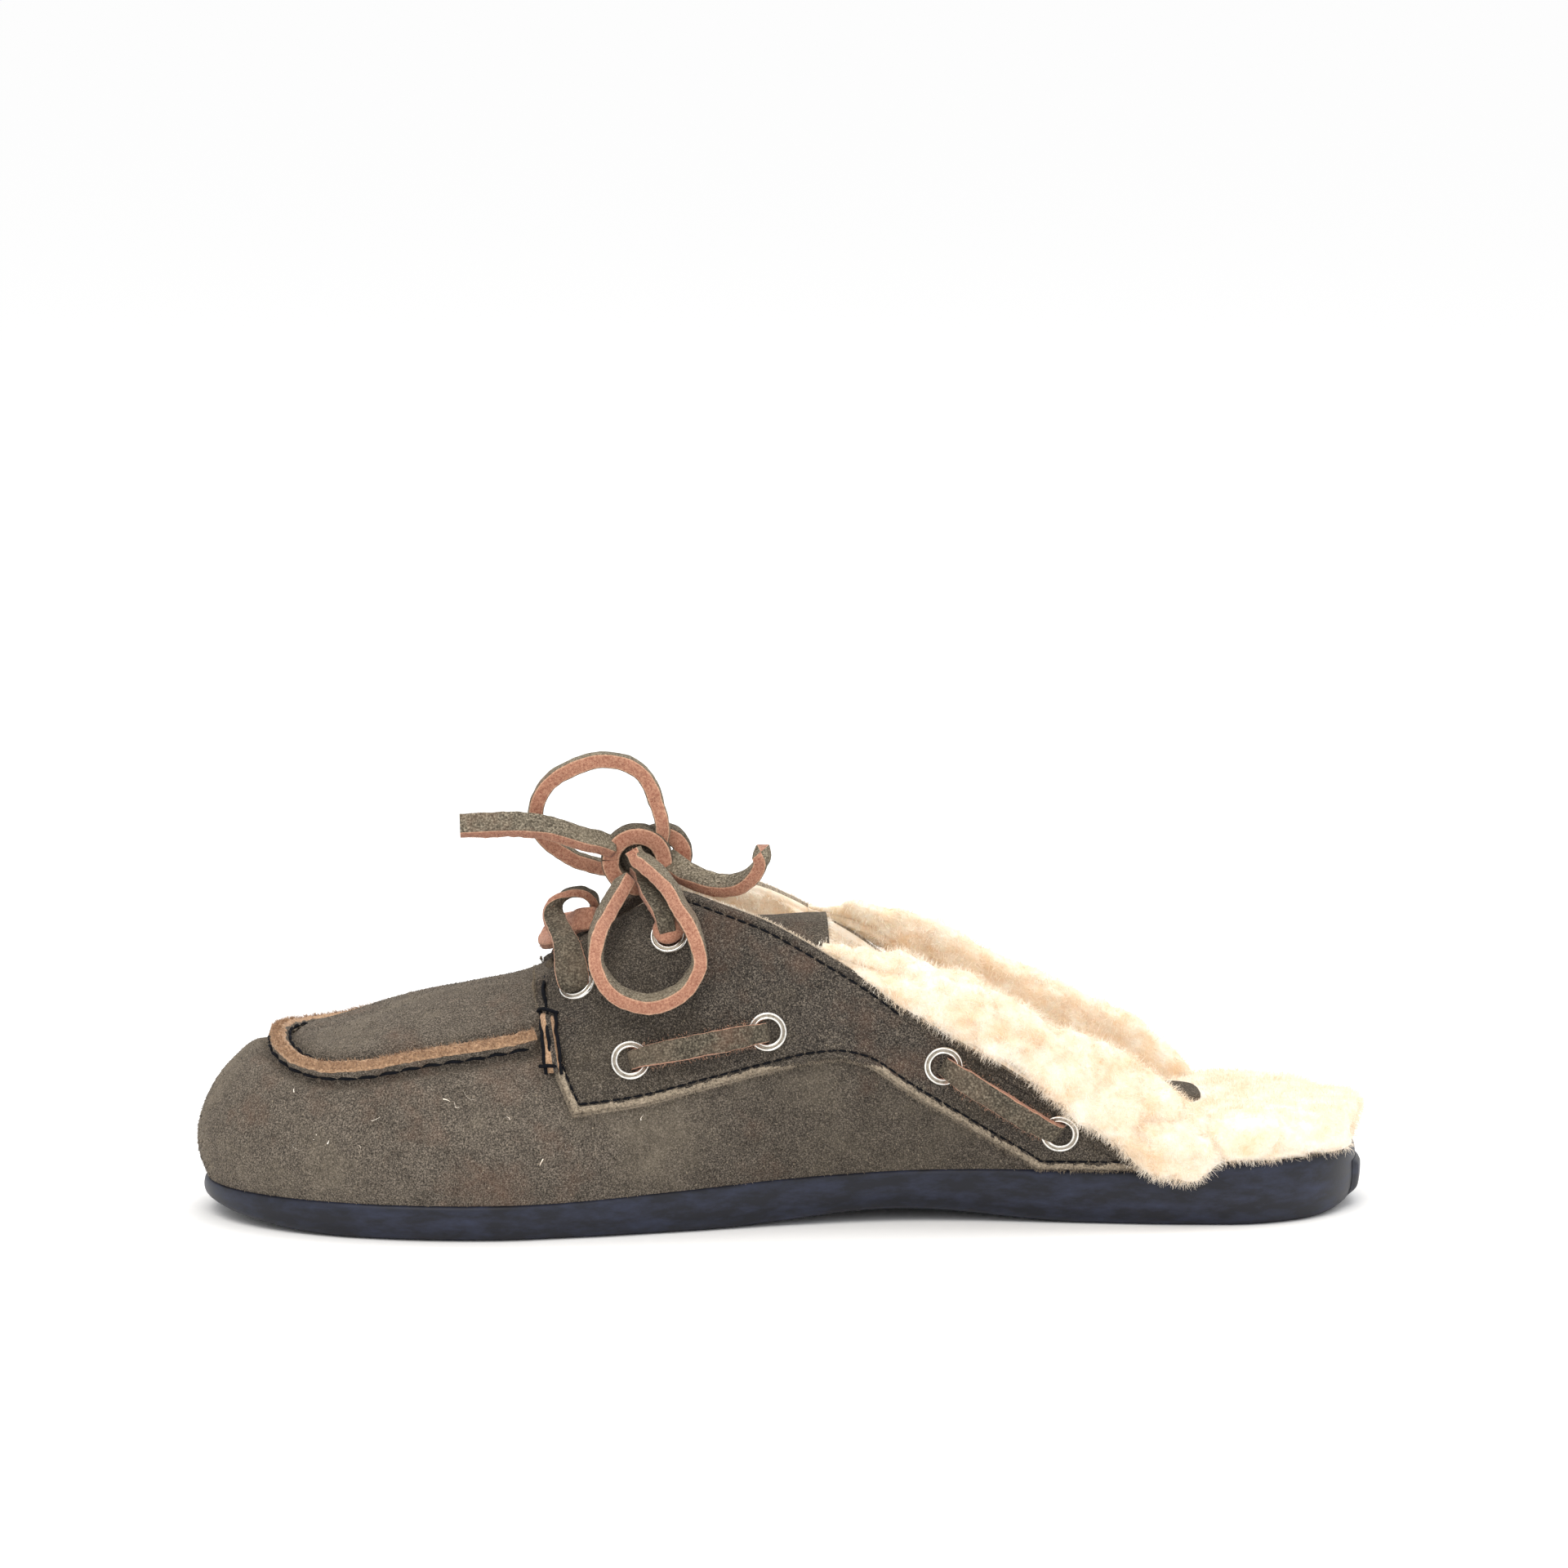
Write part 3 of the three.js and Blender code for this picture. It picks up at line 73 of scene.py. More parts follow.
def through(rows: Sequence[Sequence[float]], column: int = 1) -> Curve:
    """A smooth function through a table's rows that never overshoots them.

    Args:
        rows: Rows that start with the station.
        column: The column that gives the value.

    Returns:
        A function of the station.
    """
    x = np.array([row[0] for row in rows], float)
    y = np.array([row[column] for row in rows], float)
    secant = np.diff(y) / np.diff(x)
    before = np.concatenate([secant[:1], secant])
    after = np.concatenate([secant, secant[-1:]])
    product = before * after
    total = np.where(product > 0, before + after, 1.0)
    slope = np.where(product > 0, 2 * product / total, 0.0)

    def curve(at: Array) -> Array:
        """The value at a station.

        Args:
            at: Station, from 0 at the toe to 1 at the heel.

        Returns:
            The value there.
        """
        at = np.clip(np.asarray(at, float), x[0], x[-1])
        i = np.clip(np.searchsorted(x, at, side="right") - 1, 0, len(x) - 2)
        span = x[i + 1] - x[i]
        t = (at - x[i]) / span
        bend = t * t * (3 - 2 * t)
        ends = t * (1 - t) ** 2 * span * slope[i] + t * t * (t - 1) * span * slope[i + 1]
        return y[i] * (1 - bend) + y[i + 1] * bend + ends

    return curve


# Plan of the sole: station, width, share of it on the medial side
PLAN = (
    (0.0, 92.0, 0.462), (0.25, 91.54, 0.465), (0.33, 88.96, 0.444), (0.41, 82.8, 0.418),
    (0.5, 72.96, 0.392), (0.58, 65.92, 0.388), (0.66, 63.36, 0.409), (0.75, 64.02, 0.453),
    (0.83, 65.47, 0.489), (0.9, 66.0, 0.5), (1.0, 66.0, 0.5),
)
SOLE_TOP = (
    (0.0, 8.4), (0.28, 8.568), (0.415, 10.164), (0.54, 12.0), (0.65, 12.9), (0.8, 13.2),
    (0.9, 15.0), (1.0, 15.0),
)
# Side of the sole: inset from the outline and how far up
SOLE_SIDE = (
    (0.0, 3.4), (0.03, 2.35), (0.1, 1.3), (0.3, 0.3), (0.55, 0.0), (0.88, 0.25), (0.96, 0.55), (1.0, 1.0),
)
# Crest of the last: station, height, bluntness, shift
CREST = (
    (0.1, 42.5, 2.4, 0.011), (0.135, 45.75, 2.4, 0.008), (0.165, 49.0, 2.35, 0.003),
    (0.2, 52.0, 2.25, -0.002), (0.24, 54.25, 2.15, -0.008), (0.29, 57.75, 2.05, -0.02),
    (0.326, 65.6, 2.0, -0.026), (0.365, 74.21, 2.0, -0.03), (0.41, 81.59, 2.0, -0.032),
    (0.45, 85.69, 2.1, -0.03), (0.48, 91.02, 2.2, -0.024), (0.54, 95.12, 2.5, -0.01),
    (0.7, 92.66, 2.7, 0.0), (0.88, 90.2, 2.8, 0.0),
)
BELLY = (
    (0.0, 0.13, 0.12), (0.2, 0.11, 0.1), (0.35, 0.12, 0.08), (0.45, 0.24, 0.1), (0.56, 0.33, 0.12),
    (0.66, 0.27, 0.13), (0.78, 0.15, 0.13), (0.88, 0.1, 0.1),
)
TOPLINE = (
    (0.27, 70.0), (0.296, 58.5), (0.326, 65.364), (0.363, 71.838), (0.387, 75.504), (0.411, 78.0),
    (0.449, 75.66), (0.481, 72.93), (0.514, 68.484), (0.54, 64.272), (0.571, 58.89), (0.624, 47.97),
    (0.692, 36.816), (0.741, 27.3), (0.8, 14.82), (0.83, 7.8), (0.95, 1.56),
)
SADDLE_FRONT = ((0.29, 65.0), (0.288, 52.5), (0.303, 39.0), (0.318, 29.25))
SADDLE_LOW = (
    (0.318, 29.25), (0.371, 31.0), (0.435, 35.0), (0.494, 38.75), (0.519, 40.25), (0.541, 40.75),
    (0.561, 39.75), (0.602, 32.6), (0.664, 22.0), (0.72, 12.0), (0.75, 2.0), (0.9, 0.0),
)
# Apron seam: station, share of the way out on the medial and on the lateral side
SEAM_PATH = (
    (0.0, 0.36, 0.36), (0.01, 0.395, 0.38), (0.02, 0.45, 0.42), (0.03, 0.51, 0.46), (0.05, 0.62, 0.56),
    (0.07, 0.715, 0.64), (0.1, 0.79, 0.7), (0.12, 0.81, 0.73), (0.14, 0.817, 0.735), (0.18, 0.795, 0.73),
    (0.24, 0.763, 0.715), (0.288, 0.738, 0.695),
)
EYELETS = {
    "throat_front": (0.326, 56.785), "throat_rear": (0.403, 68.249), "side_1": (0.367, 41.496),
    "side_2": (0.483, 47.736), "side_3": (0.632, 39.234), "side_4": (0.732, 23.166),
}
# Tongue: station, height of its top face, and how far its edges hang below it
TONGUE_LINE = (
    (0.272, 53.8, 7.98), (0.31, 56.5, 9.66), (0.35, 62.0, 9.66), (0.4, 66.75, 8.82), (0.46, 69.75, 7.98),
    (0.538, 70.75, 7.14),
)
# Shearling roll: station, lowest and highest line, rise of the lateral one, depth
CUFF = (
    (0.53, 62.4, 67.86, 0.0, 3.6), (0.576, 55.38, 67.47, 1.17, 8.25), (0.64, 44.85, 63.18, 1.56, 12.0),
    (0.7, 35.1, 53.82, 1.95, 13.95), (0.76, 21.84, 45.63, 3.9, 15.0), (0.81, 10.92, 38.22, 4.29, 15.0),
    (0.85, 10.14, 29.64, 4.29, 13.5), (0.874, 14.82, 24.57, 2.34, 7.5),
)

# Bow and crossing, in the solids' own route points
LOOP_UPPER = (
    (-29.2, -3.6, 88.0), (-28.5, -4.6, 90.8), (-28.6, -5.2, 93.4), (-29.2, -4.6, 95.6), (-30.0, -4.0, 98.0),
    (-31.1, -3.5, 101.4), (-33.2, -3.0, 104.6), (-36.3, -3.0, 106.8), (-39.6, -3.0, 107.7),
    (-43.1, -3.0, 108.0), (-46.6, -3.0, 107.3), (-50.1, -3.0, 105.9), (-53.5, -3.0, 104.0),
    (-56.1, -2.5, 101.4), (-57.8, -2.0, 98.2), (-58.4, -1.0, 94.5), (-57.5, 0.0, 90.9), (-55.3, 1.0, 87.7),
    (-52.2, 1.5, 85.3), (-48.8, 1.0, 83.4), (-43.6, 0.0, 82.0), (-40.6, -1.6, 81.8),
)
LOOP_LOWER = (
    (-35.6, -12.3, 87.8), (-34.5, -12.8, 86.0), (-32.5, -14.8, 84.7), (-29.8, -18.7, 82.6),
    (-27.2, -22.8, 80.0), (-25.0, -27.1, 76.5), (-22.9, -30.7, 73.2), (-21.4, -33.1, 69.6),
    (-20.7, -34.4, 66.2), (-21.1, -36.0, 63.2), (-22.6, -36.5, 60.6), (-24.5, -37.5, 58.5),
    (-27.2, -38.2, 56.9), (-30.3, -38.5, 55.8), (-33.5, -38.5, 55.5), (-36.7, -38.2, 56.2),
    (-39.6, -37.5, 57.4), (-42.0, -36.3, 59.4), (-43.7, -34.5, 62.0), (-44.6, -32.0, 64.8),
    (-44.5, -29.0, 68.2), (-43.7, -25.5, 71.2), (-42.3, -22.0, 73.8), (-40.6, -18.7, 76.3),
    (-38.8, -15.8, 78.7), (-37.4, -13.6, 80.7),
)
END_LEFT = (
    (-40.4, -7.4, 87.6), (-42.7, -8.5, 88.7), (-43.9, -9.1, 89.2), (-46.5, -10.0, 89.9),
    (-49.6, -10.5, 91.0), (-52.7, -11.0, 92.1), (-56.2, -11.5, 93.2), (-59.6, -12.0, 93.7),
    (-63.1, -12.0, 94.0), (-66.5, -12.5, 94.1), (-70.0, -13.0, 94.1), (-73.4, -13.0, 94.0),
    (-76.3, -13.0, 93.9),
)
END_RIGHT = (
    (-27.2, -4.8, 84.2), (-25.8, -6.4, 83.3), (-24.4, -8.0, 82.5), (-23.3, -9.3, 81.8),
    (-21.4, -11.0, 81.0), (-19.0, -12.6, 80.2), (-16.3, -14.0, 79.6), (-13.7, -15.0, 79.5),
    (-11.2, -16.0, 79.9), (-9.1, -17.0, 81.0), (-7.4, -18.0, 82.5), (-6.0, -19.0, 84.5),
    (-5.4, -20.0, 86.6), (-5.8, -21.0, 88.4),
)
CROSSING = {
    Side.MEDIAL: (
        (-44.4, 1.5, 71.6), (-44.9, 0, 74.0), (-47.2, -1.5, 75.9), (-50.4, -3, 76.0), (-53.0, -5.5, 74.4),
        (-54.2, -9, 71.6), (-53.2, -14, 69.4), (-51.4, -20.5, 66.6),
    ),
    Side.LATERAL: (
        (-44.5, -7, 70.5), (-48.5, -4, 69.6), (-52.0, 1, 66.2), (-54.6, 6, 63.6), (-55.4, 11, 62.8),
        (-54.0, 16, 63.8), (-51.6, 20, 66.4),
    ),
}
KNOT_LEG_START = ((-33.8, 3.0, 82.0), (-32.8, 6.0, 81.4))
KNOT_LEG_OVER = ((0.391, 76.42, 0.0), (0.396, 73.72, 0.3), (0.401, 71.34, 0.9))
KNOT_MIDDLE = (-34.5, -6.0, 84.5)
SECOND_WRAP_MIDDLE = (-28.3, -0.8, 85.4)


def unit(vector: Array) -> Array:
    """Vectors scaled to length one."""
    return vector / np.maximum(np.linalg.norm(vector, axis=-1, keepdims=True), 1e-12)


def smooth_step(value: Array, low: float, high: float) -> Array:
    """A soft step from 0 at low to 1 at high."""
    t = np.clip((value - low) / (high - low), 0, 1)
    return t * t * (3 - 2 * t)


def grain(points: Array, size: float, seed: int) -> Array:
    """Value noise from -1 to 1 in space.

    Args:
        points: Places, in millimetres.
        size: Width of one cell, in millimetres.
        seed: Which noise.

    Returns:
        One value for each place.
    """
    place = np.asarray(points, float) / size
    cell = np.floor(place).astype(np.int64)
    part = place - cell
    part = part * part * (3 - 2 * part)
    total = np.zeros(place.shape[:-1])
    for corner in np.ndindex(2, 2, 2):
        at = cell + np.array(corner)
        mixed = at[..., 0] * 374761393 + at[..., 1] * 668265263 + at[..., 2] * 974634777 + seed * 362437
        mixed &= 0xFFFFFFFF
        mixed = ((mixed ^ (mixed >> 13)) * 1274126177) & 0xFFFFFFFF
        value = ((mixed ^ (mixed >> 16)) & 0xFFFF) / 32767.5 - 1
        weight = np.prod(np.where(np.array(corner) == 1, part, 1 - part), axis=-1)
        total += value * weight
    return total


@dataclass
class Last:
    """The last that the upper is drawn over, and the sole's outline, by station and level."""

    length: float = 276.0
    feather: float = 1.0
    toe_round: tuple[float, float] = (0.25, 0.32)
    heel_round: float = 0.125
    spine: tuple[float, float, float] = (0.1, 0.25, 1.67)
    belly_top: float = 0.4
    toe_blend: float = 0.05
    end: float = 0.885
    ball: float = 92.0
    offset: Array = field(default_factory=lambda: np.zeros(3))

    def __post_init__(self) -> None:
        """Turn the tables into functions."""
        self.width = through(PLAN, 1)
        self.medial = through(PLAN, 2)
        self.sole_top = through(SOLE_TOP)
        self.crest = through(CREST, 1)
        self.blunt = through(CREST, 2)
        self.shift = through([(row[0], row[3] * self.ball) for row in CREST])
        self.belly_medial = through(BELLY, 1)
        self.belly_lateral = through(BELLY, 2)
        self.topline = through(TOPLINE)

    def x(self, at: Array) -> Array:
        """Place along the shoe of a station."""
        return (np.asarray(at, float) - 0.5) * self.length

    def station(self, u: Array) -> Array:
        """Station of a parameter, crowded towards toe and heel."""
        return (1 - np.cos(np.pi * np.asarray(u, float))) / 2

    def param(self, at: Array) -> Array:
        """Parameter of a station."""
        return np.arccos(1 - 2 * np.asarray(at, float)) / np.pi

    def half_width(self, face: Array, at: Array) -> Array:
        """Half width of the outline on a side.

        Args:
            face: Side of the shoe, as the sign of Y.
            at: Station, from 0 at the toe to 1 at the heel.

        Returns:
            The half width.
        """
        part = np.where(face < 0, self.medial(at), 1 - self.medial(at))
        share = np.clip(at / np.where(face < 0, *self.toe_round), 0, 1)
        toe = np.sqrt(np.maximum(0, 1 - (1 - share) ** 2))
        back = np.clip((1 - at) / self.heel_round, 0, 1)
        return self.width(at) * part * toe * np.sqrt(np.maximum(0, 1 - (1 - back) ** 2))

    def outline(self, side: Array, u: Array) -> Array:
        """A point on the sole's outline, which runs on round either end.

        Args:
            side: Side of the shoe, as the sign of Y.
            u: Parameter along the shoe.

        Returns:
            Points with X and Y.
        """
        inside = np.where(u < 0, -u, np.where(u > 1, 2 - u, u))
        face = np.where((u < 0) | (u > 1), -side, side)
        at = self.station(inside)
        return np.stack([self.x(at), face * self.half_width(face, at)], -1)

    def inset(self, side: Array, u: Array, inset: Array) -> Array:
        """The outline moved in by a distance, square to itself.

        Args:
            side: Side of the shoe, as the sign of Y.
            u: Parameter along the shoe.
            inset: How far in.

        Returns:
            Points with X and Y.
        """
        side, u, inset = np.broadcast_arrays(np.asarray(side, float), u, inset)
        ahead = unit(self.outline(side, u + STEP) - self.outline(side, u - STEP))
        inward = np.stack([ahead[..., 1], -ahead[..., 0]], -1) * side[..., None]
        point = self.outline(side, u) + inward * inset[..., None]
        point[..., 1] = np.where((u <= 0) | (u >= 1), 0, point[..., 1])
        return point

    def spine_station(self, at: Array) -> Array:
        """Station of the crest point that a column of the section leans to.

        Args:
            at: Station, from 0 at the toe to 1 at the heel.

        Returns:
            Station on the crest.
        """
        start, join, power = self.spine
        bent = start + (join - start) * (np.clip(at, 0, join) / join) ** power
        return np.where(at >= join, at, bent)

    def point(self, side: Array, u: Array, level: Array) -> Array:
        """A point of the last, from the feather line at level 0 to the crest at level 1.

        Args:
            side: Side of the shoe, as the sign of Y.
            u: Parameter along the shoe.
            level: Level up the section.

        Returns:
            Points in space.
        """
        side, u, level = np.broadcast_arrays(np.asarray(side, float), u, level)
        face = np.where(u < 0, -side, side)
        u = np.abs(u)
        face = np.where(level > 1, -face, face)
        level = np.where(level > 1, 2 - level, level)
        at = self.station(u)
        foot = self.inset(face, u, self.feather)
        spine_at = self.spine_station(at)
        spine = np.stack([self.x(spine_at), self.shift(spine_at)], -1)
        power = 2 / self.blunt(spine_at)
        angle = level * np.pi / 2
        up = np.sin(angle) ** power
        out = np.where(level >= 1, 0, np.maximum(np.cos(angle), 0) ** power)
        swell = 1 - (1 - np.minimum(up / self.belly_top, 1)) ** 2
        blend = np.minimum(1, at / self.toe_blend)
        here = np.where(face < 0, self.belly_medial(at), self.belly_lateral(at))
        there = np.where(face < 0, self.belly_lateral(at), self.belly_medial(at))
        reach = out * (1 + (here * (1 + blend) + there * (1 - blend)) / 2 * swell)
        flat = spine + (foot - spine) * reach[..., None]
        bottom = self.sole_top(at) + CLEARANCE
        height = bottom + (self.crest(spine_at) - bottom) * up
        point = np.concatenate([flat, height[..., None]], -1)
        point[..., 1] = np.where(u <= 0, self.shift(self.spine[0]), point[..., 1])
        return point

    def ahead(self, side: Array, u: Array, level: Array) -> Array:
        """Direction along the last from toe to heel."""
        return unit(self.point(side, u + STEP, level) - self.point(side, u - STEP, level))

    def skin(self, side: Array, u: Array, level: Array, offset: Array = 0.0) -> tuple[Array, Array]:
        """Points moved out along the normal, and the normals.

        Args:
            side: Side of the shoe.
            u: Parameter along it.
            level: Level up the section.
            offset: How far out the point lies.

        Returns:
            Points and outward normals.
        """
        side, u, level = np.broadcast_arrays(np.asarray(side, float), u, level)
        point = self.point(side, u, level)
        high = self.point(side, u, level + STEP)
        low = self.point(side, u, np.maximum(0, level - STEP))
        normal = unit(np.cross(high - low, self.ahead(side, u, level)) * side[..., None])
        return point + normal * np.asarray(offset, float)[..., None], normal

    def level_at(self, at: Array, height: Array) -> Array:
        """Level of the section that reaches a height at a station.

        Args:
            at: Station, from 0 at the toe to 1 at the heel.
            height: Height over the floor.

        Returns:
            The level.
        """
        bottom = self.sole_top(at) + CLEARANCE
        up = np.clip((height - bottom) / (self.crest(at) - bottom), 0, 1)
        return np.arcsin(np.minimum(1, up ** (self.blunt(at) / 2))) * 2 / np.pi

    def seat(self, side: Array, at: Array, height: Array, offset: Array = 0.0) -> tuple[Array, Array]:
        """Point and outward normal at a station and a height."""
        at = np.asarray(at, float)
        return self.skin(side, self.param(at), self.level_at(at, np.asarray(height, float)), offset)

    def top_level(self, at: Array) -> Array:
        """Level where the upper ends, at the topline or over the crest."""
        level = self.level_at(at, np.minimum(self.topline(at), self.crest(at)))
        return np.where((at < TOPLINE[0][0]) | (self.topline(at) >= self.crest(at)), 1.0, level)


def lattice(rows: int, columns: int, wrap: bool = False) -> Array:
    """Quads of a grid of points stored row by row, closed round its columns if wrap.

    Args:
        rows: Rows of points.
        columns: Points in a row.
        wrap: Whether each row is a closed ring.

    Returns:
        Four point numbers a quad.
    """
    r, c = np.meshgrid(np.arange(rows - 1), np.arange(columns if wrap else columns - 1), indexing="ij")
    n = (c + 1) % columns
    quads = np.stack([r * columns + c, r * columns + n, (r + 1) * columns + n, (r + 1) * columns + c], -1)
    return quads.reshape(-1, 4)


@dataclass
class Piece:
    """Collects points and quads of one piece, with a material for each, and makes the object."""

    name: str
    last: Last
    points: list[Array] = field(default_factory=list)
    quads: list[Array] = field(default_factory=list)
    slots: list[Array] = field(default_factory=list)
    count: int = 0

    def add(self, points: Array, quads: Array, slot: int | Array = 0) -> None:
        """Add points with quads that count from their first one.

        Args:
            points: New points.
            quads: Four point numbers a quad.
            slot: Material number, or one for each quad.
        """
        points = np.asarray(points, float).reshape(-1, 3)
        self.points.append(points)
        self.quads.append(quads + self.count)
        self.slots.append(np.broadcast_to(np.asarray(slot, np.int32), (len(quads),)))
        self.count += len(points)

    def grid(self, points: Array, slot: int | Array = 0, wrap: bool = False, flip: bool = False) -> None:
        """Add a grid of points with rows first."""
        quads = lattice(points.shape[0], points.shape[1], wrap)
        self.add(points, quads[:, ::-1] if flip else quads, slot)

    def tube(self, rings: Array, slot: int | Array = 0) -> None:
        """Add rings of points joined in a row, closed at both ends with a point.

        Args:
            rings: Rings of points.
            slot: Material number, or one for each side.
        """
        first, end = rings[0].mean(0), rings[-1].mean(0)
        count = rings.shape[1]
        rings = np.concatenate([np.broadcast_to(first, (1, count, 3)), rings,
                                np.broadcast_to(end, (1, count, 3))])
        if not np.isscalar(slot):
            slot = np.tile(np.asarray(slot), rings.shape[0] - 1)
        self.grid(rings, slot, wrap=True)

    def build(self, materials: Sequence[bpy.types.Material], slot_name: str, replaces: Sequence[str] = ()
              ) -> bpy.types.Object:
        """Make the object, shade it smooth and let it ride on the shoe.

        Args:
            materials: One for each slot number used.
            slot_name: The record's material slot; not used.
            replaces: CAD nodes that it stands for.

        Returns:
            The object.
        """
        points = (np.concatenate(self.points) + self.last.offset) * MM
        quads = np.concatenate(self.quads)
        mesh = bpy.data.meshes.new(self.name)
        mesh.vertices.add(len(points))
        mesh.vertices.foreach_set("co", points.astype(np.float32).ravel())
        mesh.loops.add(quads.size)
        mesh.loops.foreach_set("vertex_index", quads.astype(np.int32).ravel())
        mesh.polygons.add(len(quads))
        mesh.polygons.foreach_set("loop_start", np.arange(0, quads.size, 4, dtype=np.int32))
        mesh.polygons.foreach_set("material_index", np.concatenate(self.slots))
        mesh.polygons.foreach_set("use_smooth", np.ones(len(quads), bool))
        mesh.update(calc_edges=True)
        mesh.validate()
        for material in materials:
            mesh.materials.append(material)
        piece = bpy.data.objects.new(self.name, mesh)
        bpy.context.scene.collection.objects.link(piece)
        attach(piece, "root")
        if replaces:
            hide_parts(*replaces)
        LOG.info("%s: %d faces", self.name, len(quads))
        return piece


def travelled(route: Array) -> Array:
    """Distance gone along a route at each of its points."""
    return np.concatenate([[0], np.cumsum(np.linalg.norm(np.diff(route, axis=0), axis=1))])


def cap(ring: Array, half: int, rows: int) -> Array:
    """Rows of points across a ring, from its medial to its lateral half.

    Args:
        ring: The ring, with both ends of the shoe in its first half.
        half: Points in that half.
        rows: How many rows.

    Returns:
        The rows.
    """
    far = np.concatenate([ring[:1], ring[half:][::-1], ring[half - 1:half]])
    share = np.linspace(0, 1, rows)[:, None, None]
    return ring[:half][None] * (1 - share) + far[None] * share


def circle(normal: Array, count: int) -> Array:
    """Directions all round a normal.

    Args:
        normal: The normal.
        count: How many directions.

    Returns:
        The directions, each of length one.
    """
    aside = unit(np.cross(normal, [0.0, 0, 1]))
    up = np.cross(aside, normal)
    angle = np.linspace(0, 2 * np.pi, count, endpoint=False)
    return aside * np.cos(angle)[:, None] + up * np.sin(angle)[:, None]


def catmull(points: Sequence[Sequence[float]], count: int) -> Array:
    """A smooth route through points, evenly spaced.

    Args:
        points: Route points.
        count: How many points come back.

    Returns:
        The route.
    """
    p = np.asarray(points, float)
    p = np.concatenate([[2 * p[0] - p[1]], p, [2 * p[-1] - p[-2]]])
    knots = np.concatenate([[0], np.cumsum(np.linalg.norm(np.diff(p, axis=0), axis=1) ** 0.5 + 1e-9)])
    fine = []
    for i in range(1, len(p) - 2):
        t = np.linspace(knots[i], knots[i + 1], 24, endpoint=i == len(p) - 3)[:, None]
        t0, t1, t2, t3 = knots[i - 1:i + 3]
        a1 = (t1 - t) / (t1 - t0) * p[i - 1] + (t - t0) / (t1 - t0) * p[i]
        a2 = (t2 - t) / (t2 - t1) * p[i] + (t - t1) / (t2 - t1) * p[i + 1]
        a3 = (t3 - t) / (t3 - t2) * p[i + 1] + (t - t2) / (t3 - t2) * p[i + 2]
        b1 = (t2 - t) / (t2 - t0) * a1 + (t - t0) / (t2 - t0) * a2
        b2 = (t3 - t) / (t3 - t1) * a2 + (t - t1) / (t3 - t1) * a3
        fine.append((t2 - t) / (t2 - t1) * b1 + (t - t1) / (t2 - t1) * b2)
    return resample(np.concatenate(fine), count)


def resample(route: Array, count: int) -> Array:
    """The same route with evenly spaced points.

    Args:
        route: Points in a row.
        count: How many points come back.

    Returns:
        The route.
    """
    gone = travelled(route)
    at = np.linspace(0, gone[-1], count)
    return np.stack([np.interp(at, gone, route[:, k]) for k in range(3)], -1)


# Materials


def hex_colour(code: str) -> tuple[float, float, float, float]:
    """An sRGB hex colour turned to linear.

    Args:
        code: Six hex digits.

    Returns:
        Red, green, blue and alpha.
    """
    parts = [int(code[i:i + 2], 16) / 255 for i in (0, 2, 4)]
    linear = [c / 12.92 if c <= 0.04045 else ((c + 0.055) / 1.055) ** 2.4 for c in parts]
    return (*linear, 1.0)


def join(tree: bpy.types.NodeTree, node: bpy.types.Node, links: dict) -> None:
    """Give a node's inputs their values, or link them to other nodes' outputs.

    Args:
        tree: The node tree.
        node: The node.
        links: Input name or number to a value, or to another node's output.
    """
    for key, value in links.items():
        if isinstance(value, bpy.types.NodeSocket):
            tree.links.new(value, node.inputs[key])
        else:
            node.inputs[key].default_value = value


def put(tree: bpy.types.NodeTree, kind: str, links: dict | None = None, **settings: object) -> bpy.types.Node:
    """Add a node with its settings and links.

    Args:
        tree: The node tree.
        kind: Blender's name of the node type, without its prefix.
        links: Input name or number to a value, or to another node's output.
        settings: Attributes of the node.

    Returns:
        The node.
    """
    made = tree.nodes.new("ShaderNode" + kind)
    for key, value in settings.items():
        setattr(made, key, value)
    join(tree, made, links or {})
    return made


@dataclass(frozen=True)
class Finish:
    """A finish with one principled surface; its kinds add colour and relief."""

    name: str

    def start(self) -> tuple[bpy.types.Material, bpy.types.NodeTree, bpy.types.Node, bpy.types.NodeSocket]:
        """A material, its tree, its surface node and the object coordinates.

        Returns:
            The four, in that order.
        """
        material = bpy.data.materials.new(self.name)
        material.use_nodes = True
        tree = material.node_tree
        surface = tree.nodes["Principled BSDF"]
        place = put(tree, "TexCoord").outputs["Object"]
        return material, tree, surface, place

    def ramp(self, tree: bpy.types.NodeTree, source: bpy.types.NodeSocket,
             stops: Sequence[tuple[float, str]]) -> bpy.types.NodeSocket:
        """Colours along a value.

        Args:
            tree: The node tree.
            source: The value.
            stops: Place and hex colour of each stop.

        Returns:
            The colour output.
        """
        made = put(tree, "ValToRGB", {"Fac": source})
        elements = made.color_ramp.elements
        for i, (place, code) in enumerate(stops):
            element = elements[i] if i < 2 else elements.new(place)
            element.position = place
            element.color = hex_colour(code)
        return made.outputs["Color"]


